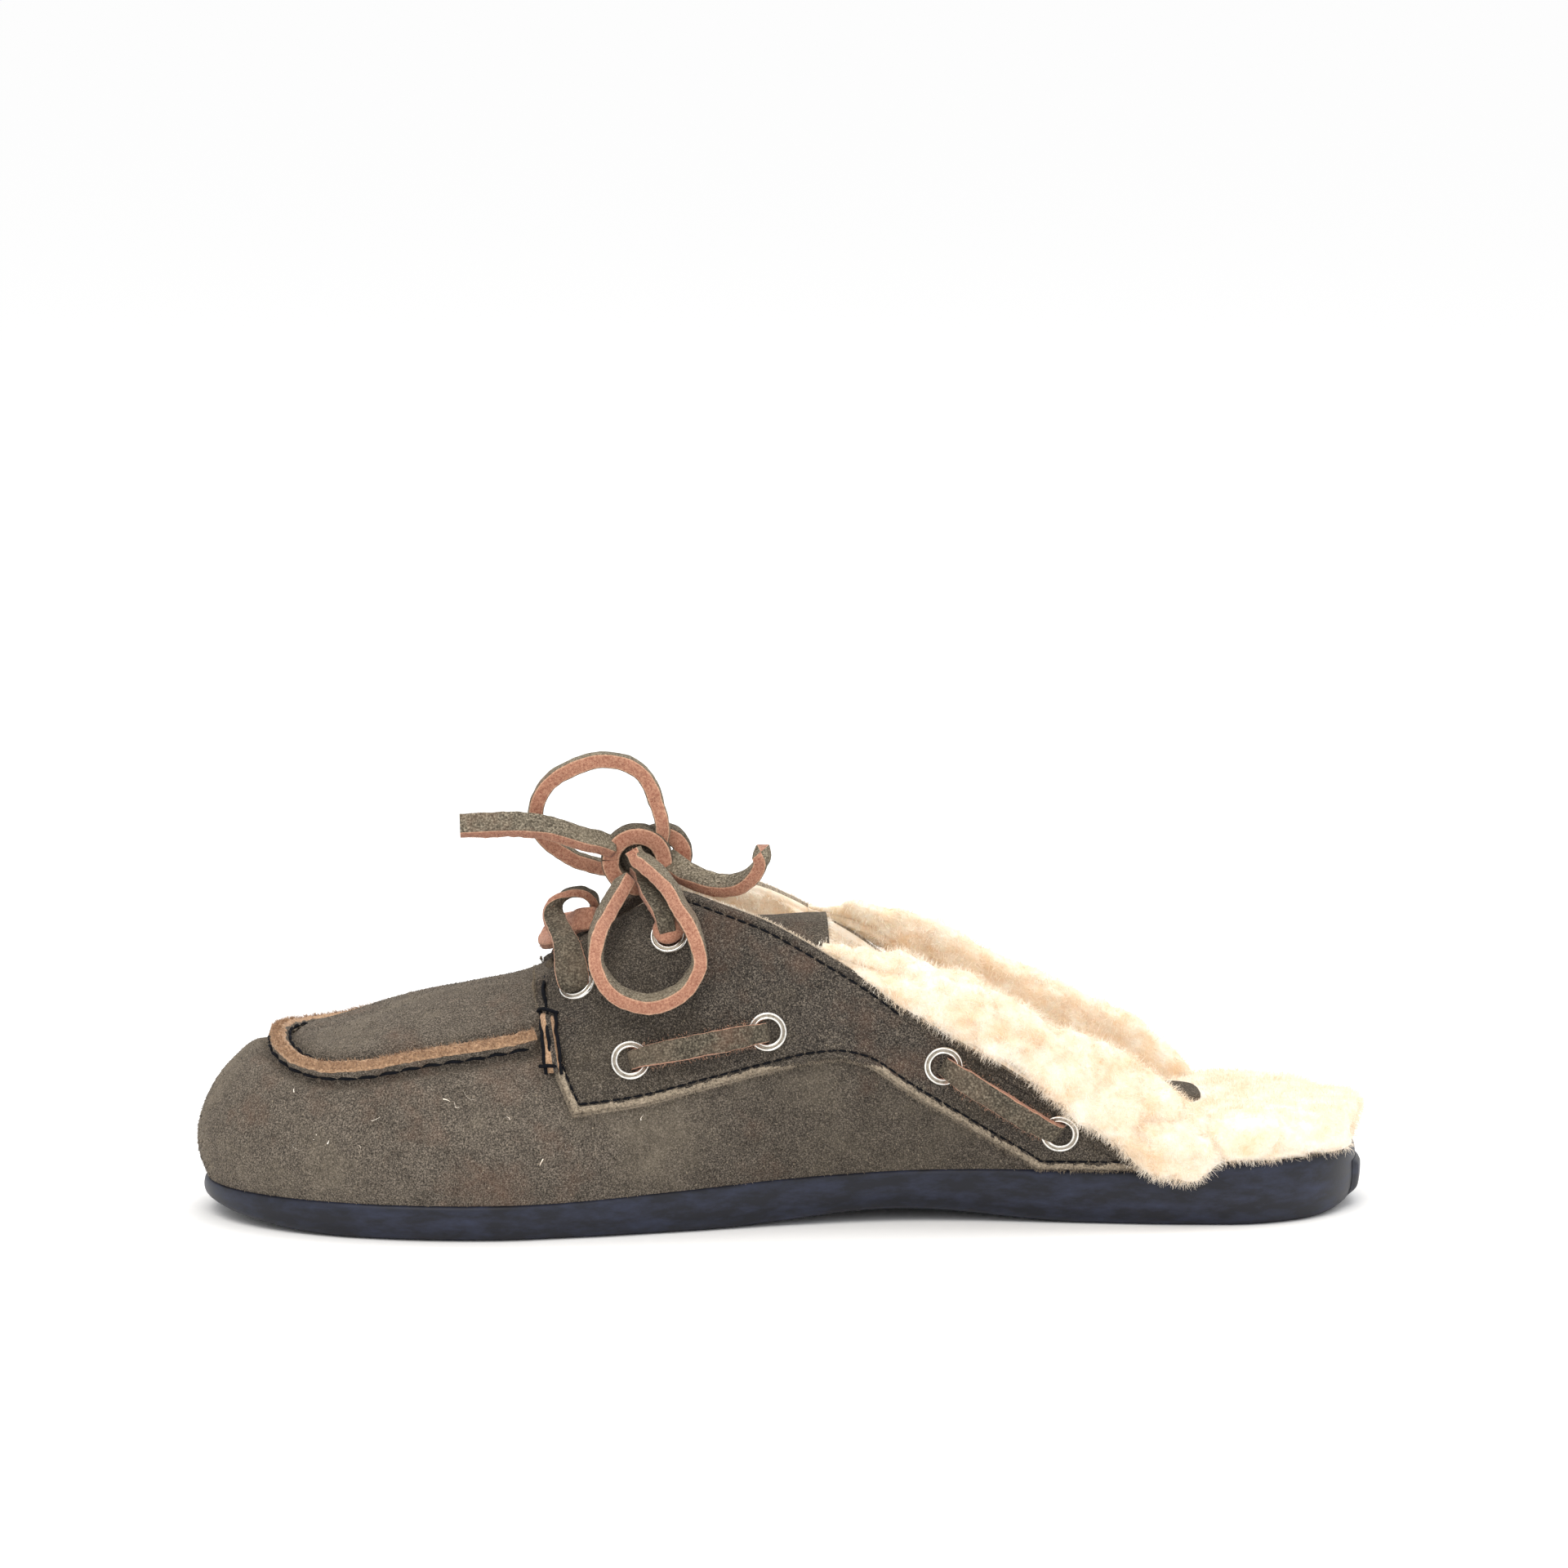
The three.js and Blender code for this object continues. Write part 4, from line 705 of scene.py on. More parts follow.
@dataclass(frozen=True)
class Suede(Finish):
    """Cow suede, split and buffed: matt short nap with strong speckle, worn lighter in patches, and painted
    shade towards the heel where the heel factor is under 1.
    """

    dark: str = "25221e"
    middle: str = "59524a"
    light: str = "968a7c"
    worn: str = "827868"
    tan: str = "74594a"
    worn_share: float = 0.4
    nap: float = 0.36
    relief: float = 0.6
    # Colour factor at the heel end: painted shade, darker towards the heel.
    painted_heel_shade: float = 1.0
    patch: float = 24.0
    cloud: float = 5.0
    spots: float = 3.4
    lint: str = "c4b39a"
    bloom: str = "b0a190"

    def material(self) -> bpy.types.Material:
        """Make the material, its nap drawn coarser than life, which is too fine for the picture.

        Returns:
            The material.
        """
        material, tree, surface, place = self.start()
        fine = put(tree, "TexNoise", {"Vector": place, "Scale": 1 / (self.nap * MM), "Detail": 3.0,
                                      "Roughness": 0.6}).outputs["Fac"]
        colour = self.ramp(tree, fine, ((0.3, self.dark), (0.5, self.middle), (0.72, self.light)))
        patch = put(tree, "TexNoise", {"Vector": place, "Scale": 1 / (self.patch * MM), "Detail": 5.0,
                                       "Roughness": 0.65}).outputs["Fac"]
        worn = put(tree, "MapRange", {"Value": patch, "From Min": 0.5, "From Max": 0.72, "To Min": 0.0,
                                      "To Max": self.worn_share}).outputs["Result"]
        brushed = put(tree, "Mix", {"Factor": worn, 6: colour, 7: hex_colour(self.worn)},
                      data_type="RGBA").outputs[2]
        warm = put(tree, "MapRange", {"Value": patch, "From Min": 0.46, "From Max": 0.3, "To Min": 0.0,
                                      "To Max": 0.4}).outputs["Result"]
        tinted = put(tree, "Mix", {"Factor": warm, 6: brushed, 7: hex_colour(self.tan)},
                     data_type="RGBA").outputs[2]
        cloud = put(tree, "TexNoise", {"Vector": place, "Scale": 1 / (self.cloud * MM), "Detail": 5.0,
                                       "Roughness": 0.7}).outputs["Fac"]
        shade = put(tree, "MapRange", {"Value": cloud, "From Min": 0.32, "From Max": 0.68, "To Min": 0.82,
                                       "To Max": 1.18}).outputs["Result"]
        # Painted shade: from X -0.06 m to 0.02 m the colour is scaled down to the heel factor, so the suede
        # darkens towards the heel.
        along = put(tree, "SeparateXYZ", {"Vector": place}).outputs["X"]
        back = put(tree, "MapRange", {"Value": along, "From Min": -0.06, "From Max": 0.02, "To Min": 1.0,
                                      "To Max": self.painted_heel_shade},
                   interpolation_type="SMOOTHSTEP").outputs["Result"]
        depth = put(tree, "Math", {0: shade, 1: back}, operation="MULTIPLY").outputs["Value"]
        tone = put(tree, "VectorMath", {0: tinted, "Scale": depth}, operation="SCALE").outputs["Vector"]
        speck = put(tree, "TexVoronoi", {"Vector": place, "Scale": 1 / (self.spots * MM)}, feature="F1")
        spot = put(tree, "MapRange", {"Value": speck.outputs["Distance"], "From Min": 0.03, "From Max": 0.09,
                                      "To Min": 0.4, "To Max": 0.0}).outputs["Result"]
        final = put(tree, "Mix", {"Factor": spot, 6: tone, 7: hex_colour(self.lint)},
                    data_type="RGBA").outputs[2]
        relief = put(tree, "Bump", {"Height": fine, "Strength": self.relief, "Distance": 0.5 * MM})
        soft = put(tree, "Bump", {"Height": cloud, "Strength": 0.35, "Distance": 0.8 * MM,
                                  "Normal": relief.outputs["Normal"]})
        join(tree, surface, {"Base Color": final, "Normal": soft.outputs["Normal"], "Roughness": 0.95,
                             "Specular IOR Level": 0.1, "Sheen Weight": 0.12, "Sheen Roughness": 0.5,
                             "Sheen Tint": hex_colour(self.bloom)})
        return material


@dataclass(frozen=True)
class CutEdge(Finish):
    """Cut edge of leather, raw: the fibres show light and rough across its thickness."""

    dark: str = "6d4a36"
    light: str = "c79b78"
    fibre: float = 0.55

    def material(self) -> bpy.types.Material:
        """Make the material.

        Returns:
            The material.
        """
        material, tree, surface, place = self.start()
        fine = put(tree, "TexNoise", {"Vector": place, "Scale": 1 / (self.fibre * MM), "Detail": 6.0,
                                      "Roughness": 0.75}).outputs["Fac"]
        colour = self.ramp(tree, fine, ((0.36, self.dark), (0.64, self.light)))
        relief = put(tree, "Bump", {"Height": fine, "Strength": 0.6, "Distance": 0.5 * MM})
        join(tree, surface, {"Base Color": colour, "Normal": relief.outputs["Normal"], "Roughness": 0.85,
                             "Specular IOR Level": 0.2, "Sheen Weight": 0.15})
        return material


@dataclass(frozen=True)
class Wool(Finish):
    """Sheep's wool on its skin, tanned and combed: light scatters through it, so its folds stay warm."""

    deep: str = "f1d5b3"
    pale: str = "fff5e6"
    lump: float = 7.0
    crimp: float = 0.8
    scatter: float = 0.3

    def material(self) -> bpy.types.Material:
        """Make the material.

        Returns:
            The material.
        """
        material, tree, surface, place = self.start()
        cloud = put(tree, "TexNoise", {"Vector": place, "Scale": 1 / (self.lump * MM), "Detail": 6.0,
                                       "Roughness": 0.7}).outputs["Fac"]
        colour = self.ramp(tree, cloud, ((0.34, self.deep), (0.66, self.pale)))
        fine = put(tree, "TexNoise", {"Vector": place, "Scale": 1 / (self.crimp * MM), "Detail": 4.0})
        relief = put(tree, "Bump", {"Height": fine.outputs["Fac"], "Strength": 0.5, "Distance": 0.6 * MM})
        join(tree, surface, {"Base Color": colour, "Normal": relief.outputs["Normal"], "Roughness": 1.0,
                             "Specular IOR Level": 0.05, "Subsurface Weight": self.scatter,
                             "Subsurface Radius": (0.004, 0.003, 0.002), "Subsurface Scale": 1.0,
                             "Sheen Weight": 0.3})
        return material


@dataclass(frozen=True)
class Rubber(Finish):
    """Moulded rubber, black with a blue cast: satin, dusty in faint streaks."""

    base: str = "0b0d19"
    dust: str = "2a3046"
    streak: float = 9.0
    skin: float = 0.5

    def material(self) -> bpy.types.Material:
        """Make the material.

        Returns:
            The material.
        """
        material, tree, surface, place = self.start()
        stretch = put(tree, "Mapping", {"Vector": place, "Scale": (1.0, 1.0, 3.0)}).outputs["Vector"]
        cloud = put(tree, "TexNoise", {"Vector": stretch, "Scale": 1 / (self.streak * MM), "Detail": 6.0,
                                       "Roughness": 0.65}).outputs["Fac"]
        colour = self.ramp(tree, cloud, ((0.42, self.base), (0.8, self.dust)))
        rough = put(tree, "MapRange", {"Value": cloud, "To Min": 0.36, "To Max": 0.6}).outputs["Result"]
        fine = put(tree, "TexNoise", {"Vector": place, "Scale": 1 / (self.skin * MM), "Detail": 3.0})
        relief = put(tree, "Bump", {"Height": fine.outputs["Fac"], "Strength": 0.12, "Distance": 0.15 * MM})
        join(tree, surface, {"Base Color": colour, "Normal": relief.outputs["Normal"], "Roughness": rough,
                             "IOR": 1.5, "Specular IOR Level": 0.38})
        return material


@dataclass(frozen=True)
class Nickel(Finish):
    """Nickel-plated brass, stamped: bright rims with fine scratches; the darker, rougher copy in the groove
    and bore is painted shade, its extra roughness the metal's.
    """

    dark: str = "d2cec6"
    bright: str = "f4f2ee"
    rough: float = 0.22
    scratch: float = 0.7

    def material(self) -> bpy.types.Material:
        """Make the material.

        Returns:
            The material.
        """
        material, tree, surface, place = self.start()
        marks = put(tree, "TexNoise", {"Vector": place, "Scale": 1 / (self.scratch * MM), "Detail": 5.0})
        fine = marks.outputs["Fac"]
        rough = put(tree, "MapRange", {"Value": fine, "To Min": self.rough - 0.08,
                                      "To Max": self.rough + 0.1}).outputs["Result"]
        colour = self.ramp(tree, fine, ((0.3, self.dark), (0.7, self.bright)))
        join(tree, surface, {"Base Color": colour, "Roughness": rough, "Metallic": 1.0})
        return material


@dataclass(frozen=True)
class Thread(Finish):
    """Waxed polyester thread, twisted: dark blue with a dull sheen."""

    base: str = "05060a"
    shine: str = "15171e"
    twist: float = 0.4

    def material(self) -> bpy.types.Material:
        """Make the material.

        Returns:
            The material.
        """
        material, tree, surface, place = self.start()
        ply = put(tree, "TexNoise", {"Vector": place, "Scale": 1 / (self.twist * MM), "Detail": 3.0})
        colour = self.ramp(tree, ply.outputs["Fac"], ((0.3, self.base), (0.8, self.shine)))
        join(tree, surface, {"Base Color": colour, "Roughness": 0.9, "Specular IOR Level": 0.15})
        return material


@dataclass(frozen=True)
class PaperFloor(Finish):
    """Seamless studio paper, matt white."""

    tooth: float = 2.5

    def material(self) -> bpy.types.Material:
        """Make the material.

        Returns:
            The material.
        """
        material, tree, surface, place = self.start()
        fine = put(tree, "TexNoise", {"Vector": place, "Scale": 1 / (self.tooth * MM), "Detail": 2.0})
        colour = self.ramp(tree, fine.outputs["Fac"], ((0.0, "fbfbfb"), (1.0, "ffffff")))
        join(tree, surface, {"Base Color": colour, "Roughness": 1.0, "Specular IOR Level": 0.0})
        return material


@dataclass
class Wardrobe:
    """All the finishes, made once."""

    def __post_init__(self) -> None:
        """Make each material."""
        # The vamp is painted darker towards the heel: painted shade.
        self.vamp = Suede("cow_suede_vamp", painted_heel_shade=0.72).material()
        self.saddle = Suede("cow_suede_saddle", dark="1a1816", middle="433e39", light="857b6f",
                            worn="625847", worn_share=0.25).material()
        self.tongue = Suede("cow_suede_tongue", dark="201d1a", middle="49433c", light="857b6e").material()
        self.lace_face = Suede("latigo_lace_face", dark="2b2722", middle="504a40", light="8c8271",
                               worn="857260", tan="7f5f4e", nap=0.5).material()
        # The bow's cords are the same lace leather with paler faces: painted light on their upward faces.
        self.lit_bow_face = Suede("latigo_bow_face", dark="38322a", middle="696154", light="a89d89",
                              worn="93866f", tan="8a6a57", nap=0.5).material()
        self.lace_edge = CutEdge("latigo_lace_edge", dark="8d5947", light="c6957a").material()
        # Paler cut edge: painted highlight on the strip's small corner facets, and the colour of the real
        # pale fuzz of the edges.
        self.lace_rim = CutEdge("latigo_lace_rim", dark="a3735c", light="d6ab8e").material()
        self.seam_edge = CutEdge("raw_seam_edge", dark="7e5d44", light="d2ad8a").material()
        self.nap_pale = CutEdge("suede_nap_pale", dark="6f6557", light="b3a48f").material()
        self.nap_dark = CutEdge("suede_nap_dark", dark="1d1a17", light="3c352f").material()
        self.saddle_edge = CutEdge("raw_saddle_edge", dark="5e5446", light="b9a993").material()
        self.wool = Wool("sheep_wool_pile").material()
        self.fibre = Wool("sheep_wool_fibre", deep="f7e1c4", pale="fff9ee", scatter=0.0).material()
        self.rubber = Rubber("moulded_black_rubber").material()
        self.nickel = Nickel("nickel_plated_rim").material()
        # A darker, rougher copy for the eyelets' bore and groove: the darker colour is painted shade in those
        # recesses.
        self.groove = Nickel("nickel_groove_painted_shade", dark="948b7e", bright="bdb5a9", rough=0.4).material()
        self.thread = Thread("waxed_navy_thread").material()
        self.floor = PaperFloor("studio_paper").material()


@dataclass
class Fleece:
    """Single wool fibres that stand out of a surface, as thin ribbons."""

    count: int
    length: float = 5.0
    width: float = 0.16
    curl: float = 0.28
    lean: float = 0.35
    seed: int = 1
    joints: int = 4

    def sample(self, points: Array, rng: np.random.Generator, wrap: bool = False) -> tuple[Array, Array]:
        """Random places on a grid of points, spread by area, with their normals.

        Args:
            points: Grid of points.
            rng: Source of the random numbers.
            wrap: Whether each row is a closed ring.

        Returns:
            Places and normals.
        """
        quads = lattice(points.shape[0], points.shape[1], wrap)
        corners = points.reshape(-1, 3)[quads]
        normal = np.cross(corners[:, 2] - corners[:, 0], corners[:, 3] - corners[:, 1])
        area = np.linalg.norm(normal, axis=1)
        pick = rng.choice(len(quads), self.count, p=area / area.sum())
        a, b = rng.random((2, self.count, 1))
        c = corners[pick]
        place = (c[:, 0] * (1 - a) + c[:, 1] * a) * (1 - b) + (c[:, 3] * (1 - a) + c[:, 2] * a) * b
        return place, unit(normal[pick])

    def grow(self, piece: Piece, place: Array, normal: Array, fall: Sequence[float], slot: int = 0,
             scale: Array | float = 1.0) -> None:
        """Add the fibres to a piece.

        Args:
            piece: The piece that gets them.
            place: Roots of the fibres.
            normal: Outward normals at the roots.
            fall: Direction that the fibres lean to.
            slot: Material number.
            scale: Length of each fibre against the usual one.
        """
        rng = np.random.default_rng(self.seed)
        n = len(place)
        swirl = np.stack([grain(place, 4.0, self.seed + k) for k in range(3)], -1)
        push = np.asarray(fall, float) * self.lean + swirl * 0.5 + rng.normal(0, 0.22, (n, 3))
        way = unit(normal + push)
        length = self.length * rng.uniform(0.45, 1.15, n) * scale
        bend = unit(np.cross(way, rng.normal(0, 1, (n, 3))))
        t = np.linspace(0, 1, self.joints)
        phase = rng.uniform(0, 6.28, n)[:, None]
        turns = rng.uniform(1.5, 4.5, n)[:, None]
        wave = (np.sin(phase + turns * t) - np.sin(phase)) * self.curl
        reach = length[:, None, None]
        path = place[:, None] + reach * (way[:, None] * t[:, None] + bend[:, None] * wave[..., None])
        path[..., 2] -= (length[:, None] * 0.18 * t ** 2)
        flat = unit(np.cross(way, bend))[:, None] * (self.width * (1 - 0.65 * t) / 2)[:, None]
        ribbon = np.stack([path - flat, path + flat], 2)
        base = np.arange(n)[:, None] * self.joints * 2 + np.arange(self.joints - 1) * 2
        quads = np.stack([base, base + 1, base + 3, base + 2], -1).reshape(-1, 4)
        piece.add(ribbon.reshape(-1, 3), quads, slot)


# Sole and footbed


@dataclass
class Sole:
    """Outsole of one moulding, with a plain heel tab."""

    last: Last
    dress: Wardrobe
    toe_spring: float = 3.6
    toe_reach: float = 0.13
    arch_lift: float = 3.0
    arch_start: float = 0.43
    arch_reach: float = 0.33
    heel_spring: float = 1.6
    heel_reach: float = 0.045
    columns: int = 220
    tab_rows: int = 12
    tab_half: int = 12
    tab_out: float = 1.15

    def ground(self, side: Array, at: Array) -> Array:
        """Height of the sole's lower face over the floor.

        Args:
            side: Side of the shoe, as the sign of Y.
            at: Station, from 0 at the toe to 1 at the heel.

        Returns:
            The height.
        """
        toe = np.maximum(0, (self.toe_reach - at) / self.toe_reach)
        heel = np.maximum(0, (at - (1 - self.heel_reach)) / self.heel_reach)
        along = np.clip(at - self.arch_start, 0, self.arch_reach)
        arch = np.sin(np.pi * along / self.arch_reach) ** 2
        share = np.where(np.asarray(side) < 0, 1.0, 0.5)
        return self.toe_spring * toe ** 2 + self.heel_spring * heel ** 2 + self.arch_lift * share * arch

    def rim(self, inset: float, up: float, grow: float = 0.0) -> Array:
        """A closed ring round the sole: medial side from toe to heel, lateral side back.

        Args:
            inset: How far in.
            up: Share of the way up.
            grow: How far out again.

        Returns:
            The ring.
        """
        u = np.linspace(0, 1, self.columns)
        rings = []
        for side in Side:
            plan = self.last.inset(side, u, inset - grow)
            at = self.last.station(u)
            ground = self.ground(side, at)
            height = ground + (self.last.sole_top(at) - ground) * up
            rings.append(np.concatenate([plan, height[:, None]], -1))
        return np.concatenate([rings[0], rings[1][-2:0:-1]])

    def build(self) -> None:
        """Make the sole and its heel tab."""
        piece = Piece("outsole_rubber", self.last)
        inset = through(SOLE_SIDE)
        ups = np.concatenate([np.linspace(0, 0.12, 6), np.linspace(0.2, 0.9, 9), [0.94, 0.97, 0.99, 1.0]])
        rings = np.stack([self.rim(float(inset(up)), float(up)) for up in ups])
        piece.grid(rings, wrap=True)
        piece.grid(cap(rings[0], self.columns, 12))
        piece.grid(cap(rings[-1], self.columns, 12), flip=True)
        piece.build([self.dress.rubber], "rubber", ["outsole"])
        self.tab().build([self.dress.rubber], "rubber", ["heel_tab"])

    def tab(self) -> Piece:
        """The plain block on the back of the heel.

        Returns:
            The piece, not built yet.
        """
        piece = Piece("heel_tab_block", self.last)
        inset = through(SOLE_SIDE)
        ups = np.linspace(0.12, 0.74, self.tab_rows)
        out = np.array([self.rim(float(inset(up)), float(up), self.tab_out) for up in ups])
        low = np.array([self.rim(float(inset(up)), float(up), 0.1) for up in ups])
        middle = self.columns - 1
        span = range(middle - self.tab_half, middle + self.tab_half)
        face, back = out[:, span], low[:, span]
        edge = np.minimum(np.arange(len(span)), np.arange(len(span))[::-1])
        rows = np.minimum(np.arange(self.tab_rows), np.arange(self.tab_rows)[::-1])
        lift = np.minimum(1, np.minimum(edge[None] / 2.0, rows[:, None] / 1.5))[..., None]
        piece.grid(back + (face - back) * lift)
        return piece


@dataclass
class Footbed:
    """Shearling footbed with lumpy pile, locks round the heel and a bare suede patch."""

    last: Last
    dress: Wardrobe
    pile: float = 11.0
    overhang: float = 3.0
    wall: float = 2.2
    heel_from: float = 62.0
    patch_half: tuple[float, float] = (17.0, 12.0)
    side_fibres: int = 10000
    top_fibres: int = 12000

    def surface(self) -> tuple[Array, Array]:
        """Grids of the pile's side with its top, and of the visible top alone.

        Returns:
            The side and the top.
        """
        u = np.linspace(0, 1, 260)
        at = self.last.station(u)
        free = through(((0.82, 0.0), (0.9, 1.0), (1.0, 1.0)))(at)
        start = (self.wall + self.last.feather + 2 * CLEARANCE) * (1 - free) - self.overhang * free
        side_rows = through(((0.0, 3.5), (0.2, 0.7), (0.6, 0.2), (0.9, 3.0), (1.0, 12.0)))
        ups = np.concatenate([np.linspace(0, 0.9, 16), np.linspace(0.92, 1.0, 6)])
        rings = []
        for up in ups:
            halves = []
            for side in Side:
                plan = self.last.inset(side, u, start + float(side_rows(up)))
                height = self.last.sole_top(at) + CLEARANCE + self.pile * up
                halves.append(np.concatenate([plan, height[:, None]], -1))
            rings.append(np.concatenate([halves[0], halves[1][-2:0:-1]]))
        rings = np.stack(rings)
        return rings, cap(rings[-1], len(u), 48)

    def lumps(self, points: Array) -> Array:
        """Points pushed about as the pile's locks do.

        Args:
            points: Points of the smooth pile.

        Returns:
            The moved points.
        """
        heel = smooth_step(points[..., 0], 60, 95)
        fold = grain(points * np.array([1, 1, 1.3]), 10.0, 3) * 2.7 + grain(points, 4.5, 5) * 1.1
        creases = -3.0 * np.exp(-(grain(points * np.array([1, 0.7, 1.2]), 12.0, 8) / 0.15) ** 2)
        centre = np.array([40.0, 0, 12.0])
        out = unit(points - centre)
        flat = np.where(self.on_patch(points, 2.5) & (points[..., 2] > 20), 0.15, 1.0)
        return points + out * ((fold + creases) * (0.35 + 0.65 * heel) * flat)[..., None]

    def build(self) -> None:
        """Make the footbed, its fibres and the patch."""
        rings, top = self.surface()
        rings, top = self.lumps(rings), self.lumps(top)
        body = Piece("footbed_pile", self.last)
        body.grid(rings, wrap=True)
        body.grid(top, flip=True)
        body.build([self.dress.wool], "shearling", ["insole"])
        hair = Piece("footbed_fibres", self.last)
        rng = np.random.default_rng(11)
        side = Fleece(self.side_fibres, length=1.7, width=0.1, curl=0.5, lean=0.25, seed=12)
        heel_columns = [k for k in range(rings.shape[1]) if rings[8, k, 0] > self.heel_from]
        first, last = heel_columns[0], heel_columns[-1]
        place, normal = side.sample(rings[:, first:last + 1], rng)
        side.grow(hair, place, -normal if self.faces_in(place, normal) else normal, (0.2, 0, -0.5))
        upper = Fleece(self.top_fibres, length=1.5, width=0.1, curl=0.5, lean=0.3, seed=13)
        back = top[:, self.heel_slice(top)]
        place, normal = upper.sample(back, rng)
        normal = normal * np.sign(normal[:, 2:3])
        bare = self.on_patch(place, 1.2)
        place, normal = place[~bare], normal[~bare]
        upper.grow(hair, place, normal, (0.4, 0, 0))
        hair.build([self.dress.fibre], "shearling")
        self.patch().build([self.dress.tongue], "dark_suede", ["insole_patch"])

    def on_patch(self, place: Array, more: float) -> Array:
        """Whether places lie on the patch or within a distance of it.

        Args:
            place: Places to test.
            more: The distance.

        Returns:
            Whether each place does.
        """
        x = np.abs(place[..., 0] - float(self.last.x(PATCH_STATION))) / (self.patch_half[0] + more)
        y = np.abs(place[..., 1]) / (self.patch_half[1] + more)
        return x ** 3.3 + y ** 3.3 < 1

    def heel_slice(self, top: Array) -> slice:
        """Columns of the top that show behind the cuffs."""
        shown = np.nonzero(top[24, :, 0] > 50)[0]
        return slice(int(shown[0]), int(shown[-1]) + 1)

    def faces_in(self, place: Array, normal: Array) -> bool:
        """Whether the normals point to the middle of the shoe."""
        return float(np.mean(np.sum((place - np.array([100.0, 0, 18])) * normal, -1))) < 0

    def patch(self) -> Piece:
        """The bare patch, sunk a little in the pile.

        Returns:
            The piece, not built yet.
        """
        piece = Piece("footbed_patch", self.last)
        angle = np.linspace(0, 2 * np.pi, 72, endpoint=False)
        turn = np.stack([np.cos(angle), np.sin(angle)])
        blunt = np.sign(turn) * np.abs(turn) ** 0.6
        bottom = float(self.last.sole_top(0.8636)) + self.pile + 2 * CLEARANCE
        rings = []
        for share, lift in ((1.0, -0.6), (1.0, 0.5), (0.97, 0.95), (0.9, 1.1), (0.5, 1.15), (0.02, 1.2)):
            x = float(self.last.x(PATCH_STATION)) + blunt[0] * self.patch_half[0] * share
            y = blunt[1] * self.patch_half[1] * share
            ring = np.stack([x, y, np.full_like(x, bottom + lift)], -1)
            ring[:, 2] += grain(ring, 8.0, 4) * 0.5
            rings.append(ring)
        piece.grid(np.stack(rings), wrap=True)
        return piece


# Upper


